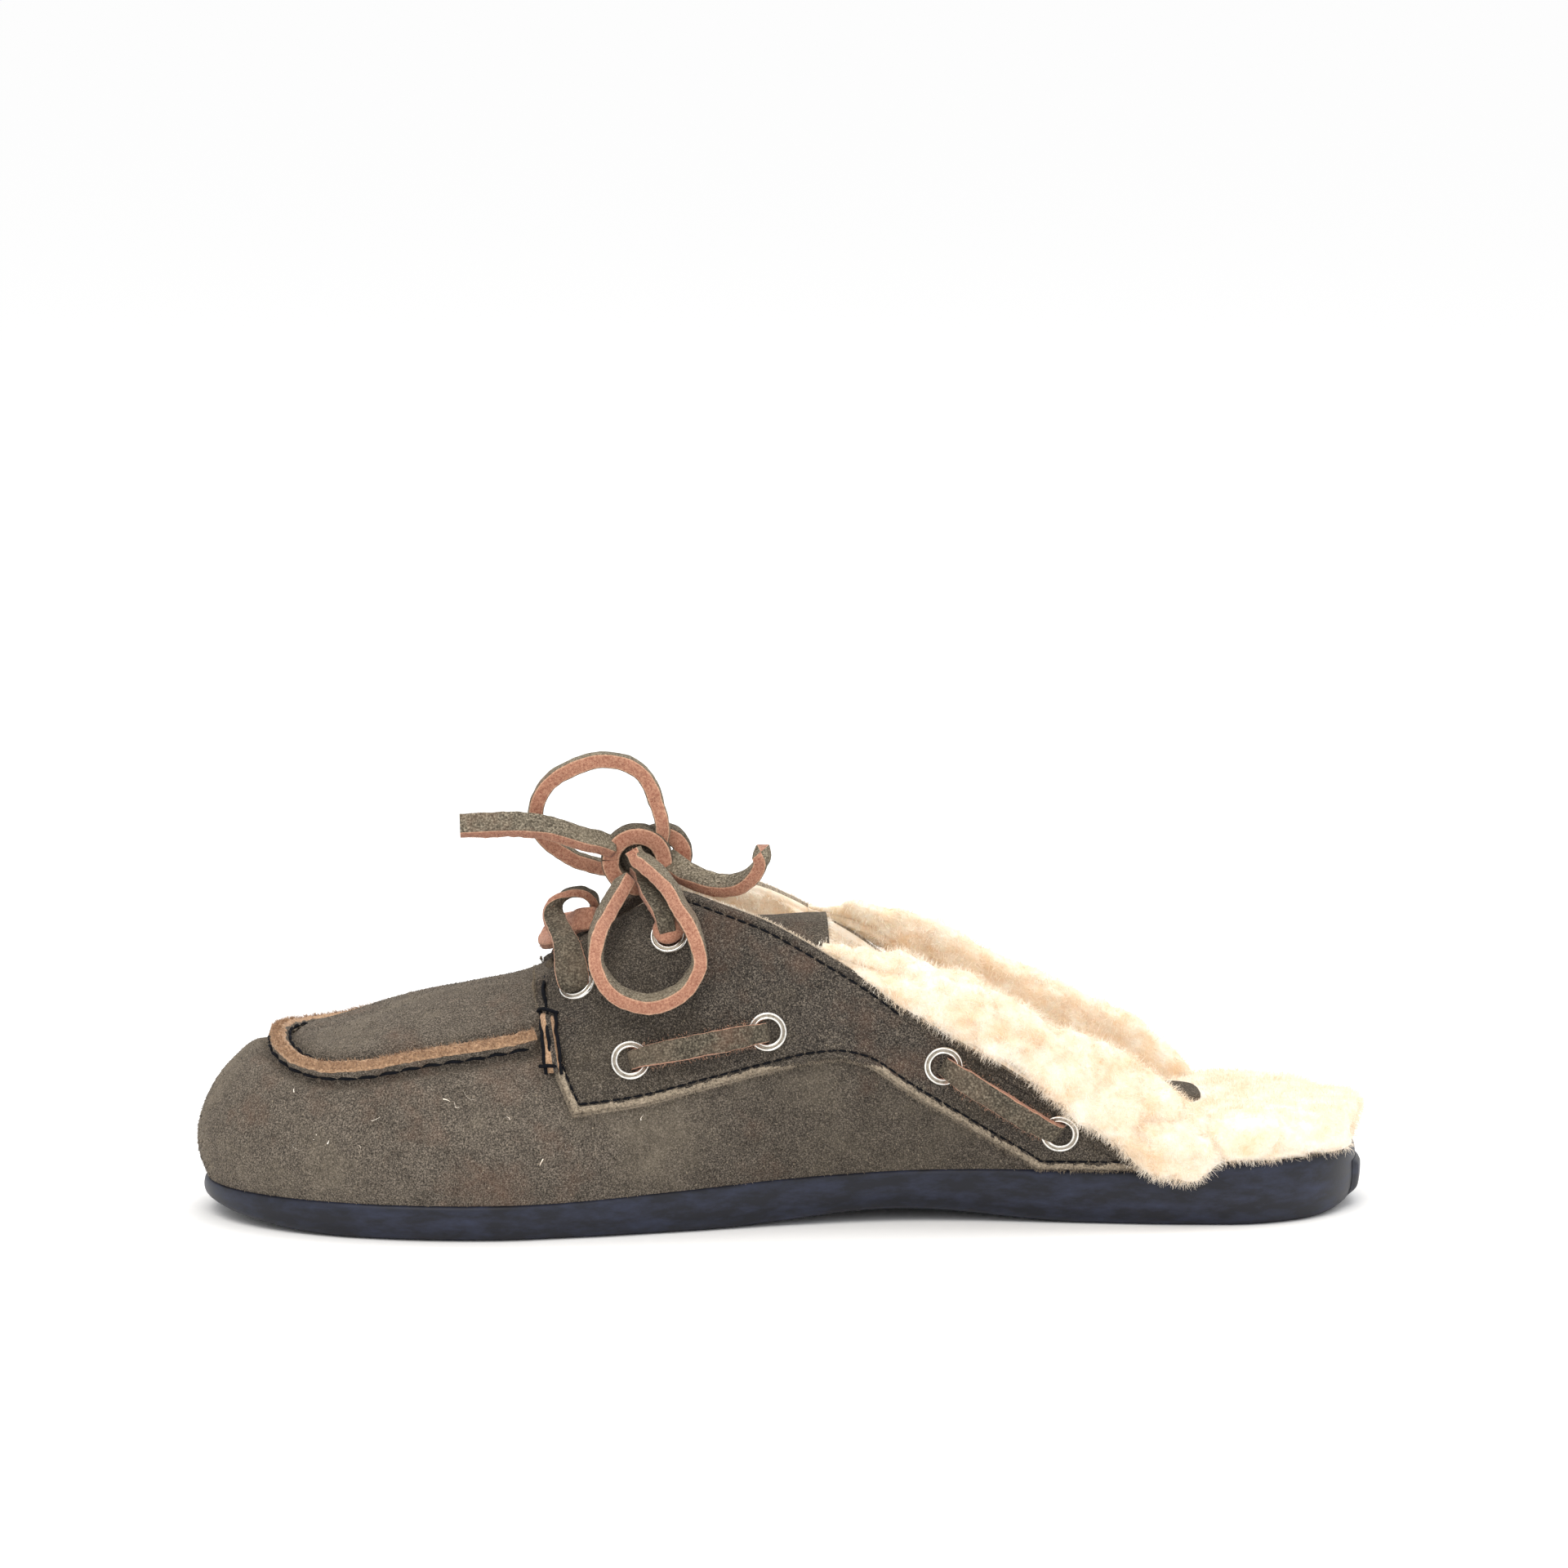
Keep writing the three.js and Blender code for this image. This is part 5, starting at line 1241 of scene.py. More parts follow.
@dataclass
class Upper:
    """Suede shell with the apron's seam, and the wool that lines it."""

    last: Last
    dress: Wardrobe
    wall: float = 2.2
    columns: int = 220
    rows: int = 84
    tufts: int = 9000

    def levels(self, u: Array, rows: int) -> Array:
        """Levels of each column, from the feather line to where the upper ends.

        Args:
            u: Parameter along the shoe.
            rows: How many levels.

        Returns:
            Levels, row by row.
        """
        at = self.last.station(u)
        level = self.last.level_at(at, np.minimum(self.last.topline(at), self.last.crest(at)) - 1.1)
        top = np.minimum(self.last.top_level(at), np.where(at > 0.31, level, 1.0))
        return np.linspace(0, 1, rows)[:, None] * top[None]

    def params(self, columns: int) -> Array:
        """Parameters of the columns, from toe to the end of the upper."""
        return np.linspace(0, float(self.last.param(self.last.end - 0.01)), columns)

    def relief(self, points: Array, seam: dict[Side, Array]) -> Array:
        """How far the suede stands out: soft creases, and the pull of the seam.

        Args:
            points: Points of the last.
            seam: The seam's path on each side.

        Returns:
            Rise of each point.
        """
        height = grain(points, 24.0, 21) * 0.35 + grain(points, 9.0, 22) * 0.12
        path = np.concatenate([seam[Side.MEDIAL][::-1], seam[Side.LATERAL][1:]])
        gap = np.full(points.shape[:-1], 1e9)
        for start in range(0, len(path), 12):
            part = path[start:start + 12]
            gap = np.minimum(gap, np.linalg.norm(points[..., None, :] - part, axis=-1).min(-1))
        height -= 1.25 * np.exp(-((gap - 3.0) / 1.3) ** 2)
        height += 0.5 * np.exp(-((gap - 7.0) / 2.6) ** 2)
        troughs = (((-70, -44, 30), (-62, -38, 44), 5.0, 0.7), ((-52, -45, 22), (-40, -46, 28), 4.0, 0.5),
                   ((-96, -40, 26), (-80, -46, 20), 6.0, 0.35))
        for start, end, wide, deep in troughs:
            a, b = np.array(start, float), np.array(end, float)
            t = np.clip(((points - a) @ (b - a)) / ((b - a) @ (b - a)), 0, 1)
            far = np.linalg.norm(points - (a + t[..., None] * (b - a)), axis=-1)
            height -= deep * np.exp(-(far / wide) ** 2)
        return height

    def build(self, seam: dict[Side, Array]) -> None:
        """Make the shell.

        Args:
            seam: Path of the apron's seam on each side.
        """
        piece = Piece("upper_suede", self.last)
        u = self.params(self.columns)
        for side in Side:
            level = self.levels(u, self.rows)
            points, normal = self.last.skin(side, u[None], level)
            out = points + normal * (self.relief(points, seam) * smooth_step(level, 0.0, 0.06))[..., None]
            out[0, :, 2] -= 0.25
            piece.grid(out, flip=side == Side.MEDIAL)
            inner, _ = self.last.skin(side, u[None], level, -self.wall)
            piece.grid(inner[::3], flip=side == Side.LATERAL)
            piece.grid(np.stack([out[-1], inner[-1]]), 1, flip=side == Side.MEDIAL)
            piece.grid(np.stack([inner[0], out[0]]), flip=side == Side.MEDIAL)
            piece.grid(np.stack([out[:, -1], inner[:, -1]]), 1, flip=side == Side.LATERAL)
            for slot in (2, 3):
                fleece = Fleece(self.tufts, length=0.5, width=0.13, curl=0.1, lean=0.9, seed=24 + slot,
                                joints=2)
                place, facing = fleece.sample(out, np.random.default_rng(26 + slot))
                outward = facing * (place - [0, 0, 15.0]) * [0.2, 1, 1]
                facing = facing * np.sign(np.sum(outward, -1, keepdims=True))
                fleece.grow(piece, place, facing, (0.5, 0, -0.6), slot)
        piece.build([self.dress.vamp, self.dress.saddle_edge, self.dress.nap_pale, self.dress.nap_dark],
                    "suede", ["upper"])
        self.lining()
        self.loose_hairs()

    def lining(self) -> None:
        """Wool on the inside of the quarters, standing a little over their edge."""
        for side in Side:
            at = np.linspace(0.33, 0.85, 120)
            foot = self.last.sole_top(at) + 7
            top = np.maximum(np.minimum(self.last.topline(at), self.last.crest(at)) - 1.2, foot + 1)
            share = np.linspace(0, 1, 30)[:, None]
            height = top[None] * (1 - share) + foot[None] * share
            stations = np.broadcast_to(at, height.shape)
            points, normal = self.last.seat(side, stations, height, -self.wall - 1.4)
            bumps = grain(points, 5.0, 31) * 1.1 + grain(points, 2.4, 32) * 0.5
            points = points - normal * bumps[..., None]
            body = Piece(f"lining_{side.name.lower()}", self.last)
            tucked, _ = self.last.seat(side, at[None], top[None] + 0.4, -self.wall - 0.15)
            shelf = points[-1:] - np.array([0.0, float(side) * 9.0, 0.0])
            body.grid(np.concatenate([tucked, points, shelf]), flip=side == Side.LATERAL)
            fleece = Fleece(4500, length=1.5, width=0.11, curl=0.4, lean=0.3, seed=33 + int(side))
            rng = np.random.default_rng(34 + int(side))
            pick = rng.random((2, fleece.count))
            index = (np.minimum(pick[0] ** 2.2 * 29, 28.9), pick[1] ** 1.3 * 118.9)
            r, c = index[0].astype(int), index[1].astype(int)
            fleece.grow(body, points[r, c], -normal[r, c], (0, 0, 1.1), 1)
            body.build([self.dress.wool, self.dress.fibre], "shearling")

    def loose_hairs(self) -> None:
        """Single pale hairs and lint that lie on the vamp."""
        piece = Piece("loose_hairs", self.last)
        rng = np.random.default_rng(41)
        count = 60
        u = rng.uniform(0.16, 0.52, count)
        side = np.where(rng.random(count) < 0.6, -1, 1)
        points, normal = self.last.skin(side, u, rng.uniform(0.08, 0.5, count), 0.35)
        hair = Fleece(count, length=3.0, width=0.28, curl=0.5, lean=1.0, seed=42, joints=5)
        flat = unit(np.cross(normal, rng.normal(0, 1, (count, 3))))
        hair.grow(piece, points, flat * 2.5, (0, 0, 0), scale=rng.uniform(0.4, 1.2, count))
        piece.build([self.dress.fibre], "suede")


@dataclass
class ApronSeam:
    """Raised raw edge of the apron's seam, with the thread that gathers it."""

    last: Last
    dress: Wardrobe
    width: float = 3.0
    height: float = 2.6

    def path(self) -> dict[Side, tuple[Array, Array, Array]]:
        """Points, normals and outward directions of the seam on each side, from the toe's middle.

        Returns:
            The three for each side.
        """
        u = np.linspace(0, float(self.last.param(0.288)), 150)
        at = self.last.station(u)
        found = {}
        for side, column in ((Side.MEDIAL, 1), (Side.LATERAL, 2)):
            out = through(SEAM_PATH, column)(at)
            belly = self.last.belly_medial(at) if side == Side.MEDIAL else self.last.belly_lateral(at)
            power = self.last.blunt(self.last.spine_station(at)) / 2
            level = np.arccos((out / (1 + belly)) ** power) * 2 / np.pi
            points, normal = self.last.skin(side, u, level)
            ahead = unit(np.gradient(points, axis=0))
            away = unit(np.cross(normal, ahead)) * -int(side)
            found[side] = (points, normal, away)
        return found

    def build(self) -> dict[Side, Array]:
        """Make the ridge and its stitches, and return the seam's path.

        Returns:
            The seam's path on each side.
        """
        found = self.path()
        parts = [np.concatenate([found[Side.MEDIAL][k][::-1], found[Side.LATERAL][k][1:]]) for k in range(3)]
        points, normal, away = parts
        gone = travelled(points)
        wave = np.abs(np.sin(np.pi * gone / 5.2)) ** 0.6
        rise = 0.8 + 0.2 * smooth_step(points[:, 0], -122, -108)
        section = (
            (-1.7, -0.4, 2), (-1.55, 0.9, 2), (-1.5, 2.0, 2), (-1.3, 2.5, 0), (-0.4, 2.75, 0), (0.6, 2.75, 0),
            (1.3, 2.5, 0), (1.7, 2.1, 0), (2.0, 1.3, 0), (2.25, 0.3, 1), (2.5, -0.4, 1),
        )
        grid = []
        for across, lift, _ in section:
            row = points + away * across + normal * (lift * rise)[:, None]
            low = 1 - min(1.0, max(0.0, lift / 2.0))
            row = row + away * (np.sign(across) * wave * 0.55 * low)[:, None]
            row = row + normal * (grain(row, 0.9, 51) * 0.36 + grain(row, 4.0, 52) * 0.25)[:, None]
            row = row + away * (grain(row, 1.3, 53) * 0.2)[:, None]
            grid.append(row)
        piece = Piece("apron_seam_edge", self.last)
        slots = np.repeat([row[2] for row in section[1:]], len(points) - 1)
        piece.grid(np.stack(grid), slots)
        piece.build([self.dress.seam_edge, self.dress.vamp, self.dress.vamp], "raw_leather", ["moc_seam"])
        thread = Piece("apron_seam_thread", self.last)
        for across, up in ((2.45, 0.3), (-1.75, 0.3)):
            row = points + away * (across + np.sign(across) * 0.5 * wave)[:, None] + normal * up
            stitches(thread, row, normal, 5.2, 4.95, 0.4)
        fuzz = Fleece(6500, length=1.1, width=0.1, curl=0.35, lean=0.1, seed=54, joints=3)
        rng = np.random.default_rng(55)
        top = np.stack(grid)[3:7]
        place, facing = fuzz.sample(top, rng)
        facing = facing * np.sign(np.sum(facing * normal[np.argmin(
            np.linalg.norm(place[:, None] - points[None, ::6], axis=-1), 1) * 6], -1))[:, None]
        fuzz.grow(thread, place, facing, (0, 0, 0), 1)
        thread.build([self.dress.thread, self.dress.seam_edge], "raw_leather")
        return {side: found[side][0] for side in Side}


def stitches(piece: Piece, path: Array, normal: Array, pitch: float, length: float, radius: float) -> None:
    """Rows of single stitches that dip at both ends.

    Args:
        piece: The piece that gets them.
        path: Route of the row.
        normal: Outward normals along it.
        pitch: From one stitch to the next.
        length: Length of one.
        radius: Half its thickness.
    """
    gone = travelled(path)
    starts = np.arange(pitch / 2, gone[-1] - length, pitch)
    t = np.linspace(0, 1, 6)
    angle = np.linspace(0, 2 * np.pi, 6, endpoint=False)
    for start in starts:
        at = start + t * length
        line = np.stack([np.interp(at, gone, path[:, k]) for k in range(3)], -1)
        up = unit(np.stack([np.interp(at, gone, normal[:, k]) for k in range(3)], -1))
        line = line + up * ((np.sin(np.pi * t) - 0.6) * radius * 0.9)[:, None]
        ahead = unit(np.gradient(line, axis=0))
        aside = unit(np.cross(ahead, up))
        size = radius * np.sqrt(np.clip(1 - (2 * t - 1) ** 4, 0.08, 1))
        rise = np.cross(aside, ahead)
        ring = aside[:, None] * np.cos(angle)[:, None] + rise[:, None] * np.sin(angle)[:, None]
        piece.tube(line[:, None] + ring * size[:, None, None])


# Saddles


@dataclass
class Saddle:
    """Quarter overlay of one side, with its stitched and raw edges."""

    last: Last
    dress: Wardrobe
    side: Side
    thickness: float = 1.4
    clear: float = 0.12
    gap: float = 2.5
    sewn_in: float = 2.5
    raw_band: float = 1.85
    tufts: int = 5500
    fuzz: int = 5200

    def low(self, at: Array) -> Array:
        """Height of the lower edge at a station.

        Args:
            at: Station, from 0 at the toe to 1 at the heel.

        Returns:
            The height.
        """
        front = through(tuple((row[0], row[1]) for row in SADDLE_FRONT[1:]))
        below = through(SADDLE_LOW)
        edge = np.where(at < SADDLE_FRONT[3][0], front(at), below(at))
        return np.maximum(edge, self.last.sole_top(at) + CLEARANCE)

    def high(self, at: Array) -> Array:
        """Height of the upper edge at a station, kept off the crest line.

        Args:
            at: Station, from 0 at the toe to 1 at the heel.

        Returns:
            The height.
        """
        top = np.minimum(self.last.topline(at), self.last.crest(at))
        gap = self.gap + np.where(self.side < 0, 7.0, 15.0) * (1 - smooth_step(at, 0.286, 0.318))
        outline = self.last.half_width(np.full_like(at, float(self.side)), at)
        half = np.abs(outline - self.side * self.last.shift(at))
        power = self.last.blunt(at)
        share = np.clip(gap / half, 0, 0.99)
        bottom = self.last.sole_top(at)
        limit = bottom + (self.last.crest(at) - bottom) * (1 - share ** power) ** (1 / power)
        return np.minimum(top, limit)

    def stations(self) -> Array:
        """Stations of the columns, crowded at the front edge."""
        fine = np.arange(0.2884 if self.side == Side.MEDIAL else 0.2954, 0.335, 0.0014)
        return np.concatenate([fine, np.linspace(0.336, 0.815, 150)])

    def edge_gap(self, points: Array, edge: Array) -> Array:
        """Distance from points to a polyline, both seen from the side.

        Args:
            points: Points in space.
            edge: The polyline, with X and Z.

        Returns:
            The distance of each.
        """
        flat = points[..., [0, 2]]
        gap = np.full(flat.shape[:-1], 1e9)
        for a, b in zip(edge[:-1], edge[1:]):
            run = b - a
            t = np.clip(((flat - a) @ run) / max(float(run @ run), 1e-9), 0, 1)
            gap = np.minimum(gap, np.linalg.norm(flat - (a + t[..., None] * run), axis=-1))
        return gap

    def build(self) -> None:
        """Make the overlay, its thread and the fuzz of its edges."""
        at = self.stations()
        low, high = self.low(at), self.high(at)
        keep = high - low > 1.5
        at, low, high = at[keep], low[keep], high[keep]
        near = np.array([0, 0.35, 0.8, 1.3, 1.7, 2.0, 2.3, 2.6, 3.0, 3.6, 4.6])
        rows = [low + np.minimum(step, (high - low) * step / 12) for step in near]
        middle = np.linspace(0, 1, 44)[1:-1]
        margin = np.minimum(near[-1], (high - low) * 0.4)
        rows += [low + margin + (high - low - margin - margin) * share for share in middle]
        rows += [high - np.minimum(step, (high - low) * step / 12) for step in near[::-1]]
        height = np.stack(rows)
        stations = np.broadcast_to(at, height.shape)
        base, normal = self.last.seat(self.side, stations, height, self.clear)
        lower_edge = np.stack([base[0, :, 0], base[0, :, 2]], -1)
        front_edge = np.stack([base[:, 0, 0], base[:, 0, 2]], -1)
        edge = np.concatenate([front_edge[::-1][:-1], lower_edge])
        gap = self.edge_gap(base, edge[::2])
        top = self.edge_gap(base, np.stack([base[-1, :, 0], base[-1, :, 2]], -1)[::2])
        lift = self.thickness * smooth_step(gap, -0.3, 0.9)
        lift = lift - 0.55 * np.exp(-((gap - self.sewn_in) / 0.45) ** 2)
        lift = lift + 0.12 * np.exp(-((gap - 3.5) / 0.6) ** 2)
        throat = smooth_step(base[..., 0], -66, -50)
        lift = lift * (1 - 0.75 * np.exp(-(top / 0.9) ** 2))
        lift = lift - 0.5 * np.exp(-((top - 2.2) / 0.45) ** 2) * throat
        lift = lift + 0.35 * np.exp(-((top - 1.1) / 0.6) ** 2)
        lift = lift + grain(base, 11.0, 61) * 0.22 + grain(base, 3.0, 62) * 0.06
        raw = np.exp(-(gap / 1.2) ** 2)
        lift = lift + raw * grain(base, 0.8, 63) * 0.3
        outer = base + normal * np.maximum(lift, 0.05)[..., None]
        name = self.side.name.lower()
        piece = Piece(f"saddle_{name}_suede", self.last)
        ragged = self.raw_band + grain(base, 1.3, 66) * 0.5
        band = ((gap < ragged) & (base[..., 2] < 39.5))[:-1, :-1].astype(np.int32).ravel()
        piece.grid(outer, band, flip=self.side == Side.MEDIAL)
        skirt = np.stack([base[0] - normal[0] * 0.1, outer[0]])
        piece.grid(skirt, 1, flip=self.side == Side.MEDIAL)
        fore = np.stack([base[:, 0] - normal[:, 0] * 0.1, outer[:, 0]])
        piece.grid(fore, 1, flip=self.side == Side.LATERAL)
        wrap = [outer[-1:]]
        for drop, inset in ((-0.5, -0.6), (-0.3, -1.8), (0.3, -2.6), (1.2, -2.7)):
            wrap.append(self.last.seat(self.side, stations[-1:], height[-1:] - drop, inset)[0])
        behind = (stations[0, :-1] > 0.405).astype(np.int32)
        rim = np.stack([behind, behind, behind * 4, behind * 4]).ravel()
        piece.grid(np.concatenate(wrap), rim, flip=self.side == Side.MEDIAL)
        self.nap(piece, outer)
        self.fringe(piece, at, high)
        piece.build([self.dress.saddle, self.dress.saddle_edge, self.dress.nap_pale, self.dress.nap_dark,
                     self.dress.fibre], "dark_suede", [f"saddle_{name}"])
        self.sew(name, at, high, edge)

    def fringe(self, piece: Piece, at: Array, high: Array) -> None:
        """Hairs of the lining that stand past the collar's edge in front of the cuff.

        Args:
            piece: The piece that gets them.
            at: Station, from 0 at the toe to 1 at the heel.
            high: Height of the upper edge there.
        """
        hairs = Fleece(1500, length=1.1, width=0.13, curl=0.4, lean=0.2, seed=57 + int(self.side), joints=3)
        station = np.random.default_rng(56).uniform(0.42, 0.585, hairs.count)
        height = np.interp(station, at, high)
        place, normal = self.last.seat(self.side, station, height, -0.5)
        hairs.grow(piece, place, unit(normal * 0.35 + [0, 0, 1.0]), (0.3, 0, 0.2), 4)

    def nap(self, piece: Piece, outer: Array) -> None:
        """Short tufts of the suede's nap, pale and dark ones.

        Args:
            piece: The piece that gets them.
            outer: Grid of the overlay's face.
        """
        rng = np.random.default_rng(67)
        for slot in (2, 3):
            fleece = Fleece(self.tufts, length=0.5, width=0.13, curl=0.1, lean=0.9, seed=68 + slot, joints=2)
            place, facing = fleece.sample(outer, rng)
            facing = facing * np.sign(np.sum(facing * [0, float(self.side), 0.6], -1, keepdims=True))
            fleece.grow(piece, place, facing, (0.5, 0, -0.6), slot)

    def sew(self, name: str, at: Array, high: Array, edge: Array) -> None:
        """Thread along the edges, and the fuzz of the cut ones.

        Args:
            name: The side, in small letters.
            at: Station, from 0 at the toe to 1 at the heel.
            high: Height of the upper edge there.
            edge: Front and lower edge, with X and Z.
        """
        thread = Piece(f"saddle_{name}_thread", self.last)
        inner = self.inset_edge(edge, self.sewn_in)
        inner = inner[(inner[:, 0] > self.last.x(0.291)) & (inner[:, 1] > self.last.sole_top(0.72) + 2.5)]
        stations = inner[:, 0] / self.last.length + 0.5
        points, normal = self.last.seat(self.side, stations, inner[:, 1], self.clear + self.thickness - 0.25)
        stitches(thread, points, normal, 2.6, 2.3, 0.24)
        back = (at > 0.405) & (at < 0.6)
        line = np.stack([self.last.x(at[back]), high[back]], -1)
        slope = unit(np.gradient(line, axis=0))
        line = line + np.stack([slope[:, 1], -slope[:, 0]], -1) * 2.3
        points, normal = self.last.seat(self.side, line[:, 0] / self.last.length + 0.5, line[:, 1],
                                        self.clear + self.thickness - 0.2)
        stitches(thread, points, normal, 3.0, 2.6, 0.26)
        fuzz = Fleece(self.fuzz, length=0.75, width=0.12, curl=0.3, lean=0.4, seed=64, joints=3)
        rng = np.random.default_rng(65)
        pick = rng.uniform(0, len(edge) - 1.001, fuzz.count)
        base = pick.astype(int)
        flat = edge[base] + (edge[base + 1] - edge[base]) * (pick - base)[:, None]
        height = np.maximum(flat[:, 1], self.last.sole_top(0.7)) + rng.uniform(0, 1.2, fuzz.count)
        place, normal = self.last.seat(self.side, flat[:, 0] / self.last.length + 0.5, height,
                                       self.clear + self.thickness * 0.7)
        fuzz.grow(thread, place, normal, (-0.2, 0, -0.6), 1)
        thread.build([self.dress.thread, self.dress.saddle_edge], "dark_suede")

    def inset_edge(self, edge: Array, distance: float) -> Array:
        """The edge moved into the overlay by a distance, seen from the side.

        Args:
            edge: Front and lower edge, with X and Z.
            distance: How far in.

        Returns:
            The moved edge.
        """
        gone = travelled(edge)
        at = np.arange(0, gone[-1], 0.8)
        line = np.stack([np.interp(at, gone, edge[:, k]) for k in range(2)], -1)
        slope = unit(np.gradient(line, axis=0))
        moved = line + np.stack([-slope[:, 1], slope[:, 0]], -1) * distance
        far = np.array([np.linalg.norm(line - point, axis=1).min() for point in moved])
        return moved[far > distance * 0.97]


@dataclass
class Tack:
    """Thread tack over the end of the apron's seam, at the front of the saddle."""

    last: Last
    dress: Wardrobe
    side: Side
    stand: float = 3.3
    thread: float = 0.44

    def build(self) -> None:
        """Make the raised tab and the thread round it."""
        name = self.side.name.lower()
        piece = Piece(f"seam_tack_{name}", self.last)
        rows = np.linspace(38.6, 50.5, 16)
        across = np.array([0.2905, 0.2915, 0.294, 0.2985, 0.303, 0.3055, 0.3065])
        lift = np.array([0.2, 1.9, 2.9, 3.1, 2.9, 1.9, 0.9])
        stations = np.broadcast_to(across, (len(rows), len(across))) + (50.5 - rows[:, None]) * 0.00035
        heights = np.broadcast_to(rows[:, None], stations.shape)
        ends = smooth_step(np.minimum(rows - rows[0], rows[-1] - rows), 0, 1.5)
        base, normal = self.last.seat(self.side, stations, heights, 0.2)
        points = base + normal * (lift[None] * (0.35 + 0.65 * ends[:, None]))[..., None]
        points = points + normal * (grain(points, 1.2, 71) * 0.25)[..., None]
        slots = np.tile([1, 1, 1, 0, 1, 1], len(rows) - 1)
        piece.grid(points, slots, flip=self.side == Side.MEDIAL)
        for station in (0.2925, 0.3065):
            upright = [(station + 0.0035, 38.2), (station + 0.0018, 44.0), (station, 50.8)]
            self.bar(piece, upright, self.stand)
        for height in (39.6, 50.2):
            across_tab = [(0.2905, height + 0.3), (0.2985, height), (0.3085, height + 0.5)]
            self.bar(piece, across_tab, self.stand - 0.1)
        self.bar(piece, [(0.3015, 40.0), (0.3, 45.0), (0.2985, 50.0)], self.stand + 0.2)
        if self.side == Side.MEDIAL:
            self.bar(piece, [(0.299, 51.6), (0.2975, 54.0), (0.2965, 57.4)], 2.0)
        piece.build([self.dress.saddle, self.dress.seam_edge, self.dress.thread], "dark_suede")

    def bar(self, piece: Piece, places: Sequence[tuple[float, float]], lift: float) -> None:
        """One laid thread over the tab.

        Args:
            piece: The piece that gets it.
            places: Station and height of its points.
            lift: How far out it lies.
        """
        route = []
        for k, (at, height) in enumerate(places):
            sunk = 1.6 if k in (0, len(places) - 1) else 0.0
            point, _ = self.last.seat(self.side, np.array(at), np.array(height), lift - sunk)
            route.append(point)
        line = catmull(route, 18)
        line = line + np.stack([grain(line, 2.2, 72 + k) for k in range(3)], -1) * 0.3
        rings(piece, line, self.thread, 2)


def rings(piece: Piece, route: Array, radius: float, slot: int) -> None:
    """A round tube along a route.

    Args:
        piece: The piece that gets it.
        route: Its middle line.
        radius: Half its thickness.
        slot: Material number.
    """
    ahead = unit(np.gradient(route, axis=0))
    aside = unit(np.cross(ahead, np.array([0.31, 0.2, 0.93])))
    up = np.cross(aside, ahead)
    angle = np.linspace(0, 2 * np.pi, 8, endpoint=False)
    ring = aside[:, None] * np.cos(angle)[:, None] + up[:, None] * np.sin(angle)[:, None]
    piece.tube(route[:, None] + ring * radius, slot)


@dataclass
class Tongue:
    """Suede tongue under the throat."""

    last: Last
    dress: Wardrobe
    width: float = 42.0
    thickness: float = 2.2

    def build(self) -> None:
        """Make the tongue."""
        line, bow = through(TONGUE_LINE, 1), through(TONGUE_LINE, 2)
        at = np.linspace(0.274, 0.5385, 90)
        share = np.linspace(-1, 1, 36)
        corner = np.sqrt(np.clip(1 - (np.clip((at - 0.527) / 0.0115, 0, 1) ** 2.5) * 0.35, 0, 1))
        y = self.last.shift(at)[None] + share[:, None] * self.width / 2 * corner[None]
        z = line(at)[None] - bow(at)[None] * share[:, None] ** 2
        top = np.stack([np.broadcast_to(self.last.x(at), y.shape), y, z], -1)
        top[..., 2] += grain(top, 12.0, 81) * 0.5 + grain(top, 3.0, 82) * 0.12
        low = top - np.array([0, 0, self.thickness])
        piece = Piece("tongue_suede", self.last)
        piece.grid(top, flip=True)
        piece.grid(low, 2)
        for a, b in ((top[0], low[0]), (low[-1], top[-1]), (top[:, -1], low[:, -1]), (low[:, 0], top[:, 0])):
            piece.grid(np.stack([a, b]), 1)
        fleece = Fleece(2200, length=1.6, width=0.14, curl=0.3, lean=0.3, seed=83, joints=3)
        rng = np.random.default_rng(84)
        pick = rng.integers(0, 36, fleece.count)
        place = low[pick, -1] + np.stack([rng.uniform(-0.5, 0.3, fleece.count), np.zeros(fleece.count),
                                          rng.uniform(-0.5, 0.6, fleece.count)], -1)
        fleece.grow(piece, place, np.broadcast_to([1.0, 0, -0.4], place.shape), (0, 0, 0), 2)
        piece.build([self.dress.tongue, self.dress.saddle_edge, self.dress.fibre], "dark_suede", ["tongue"])


# Hardware and lace


@dataclass
class Eyelets:
    """Two-part eyelets with a groove between two bright rims."""

    last: Last
    dress: Wardrobe
    seat: float = 2.0
    sunk: float = 0.35
    sides: int = 48
    # Rows marked 1, the bore and the groove, take the darker nickel: painted shade.
    profile: tuple[tuple[float, float, int], ...] = (
        (2.85, -3.4, 1), (2.85, -0.3, 1), (2.88, 0.35, 0), (3.0, 0.78, 0), (3.25, 0.95, 0), (3.5, 0.8, 0),
        (3.58, 0.5, 1), (3.75, 0.36, 1), (3.92, 0.45, 1), (4.0, 0.72, 0), (4.2, 0.95, 0), (4.45, 0.85, 0),
        (4.6, 0.5, 0), (4.66, 0.05, 0), (4.6, -0.4, 0),
    )

    def build(self) -> None:
        """Make all twelve."""
        for side in Side:
            for name, (at, height) in EYELETS.items():
                point, normal = self.last.seat(side, np.array(at), np.array(height), self.seat)
                ring = circle(normal, self.sides)
                grid = np.stack([point + ring * radius + normal * (lift - self.sunk)
                                 for radius, lift, _ in self.profile])
                node = f"eyelet_{side.name.lower()}_{name}"
                piece = Piece(f"{node}_rim", self.last)
                slots = np.repeat([row[2] for row in self.profile[1:]], self.sides)
                piece.grid(grid, slots, wrap=True, flip=True)
                piece.build([self.dress.nickel, self.dress.groove], "nickel", [node])


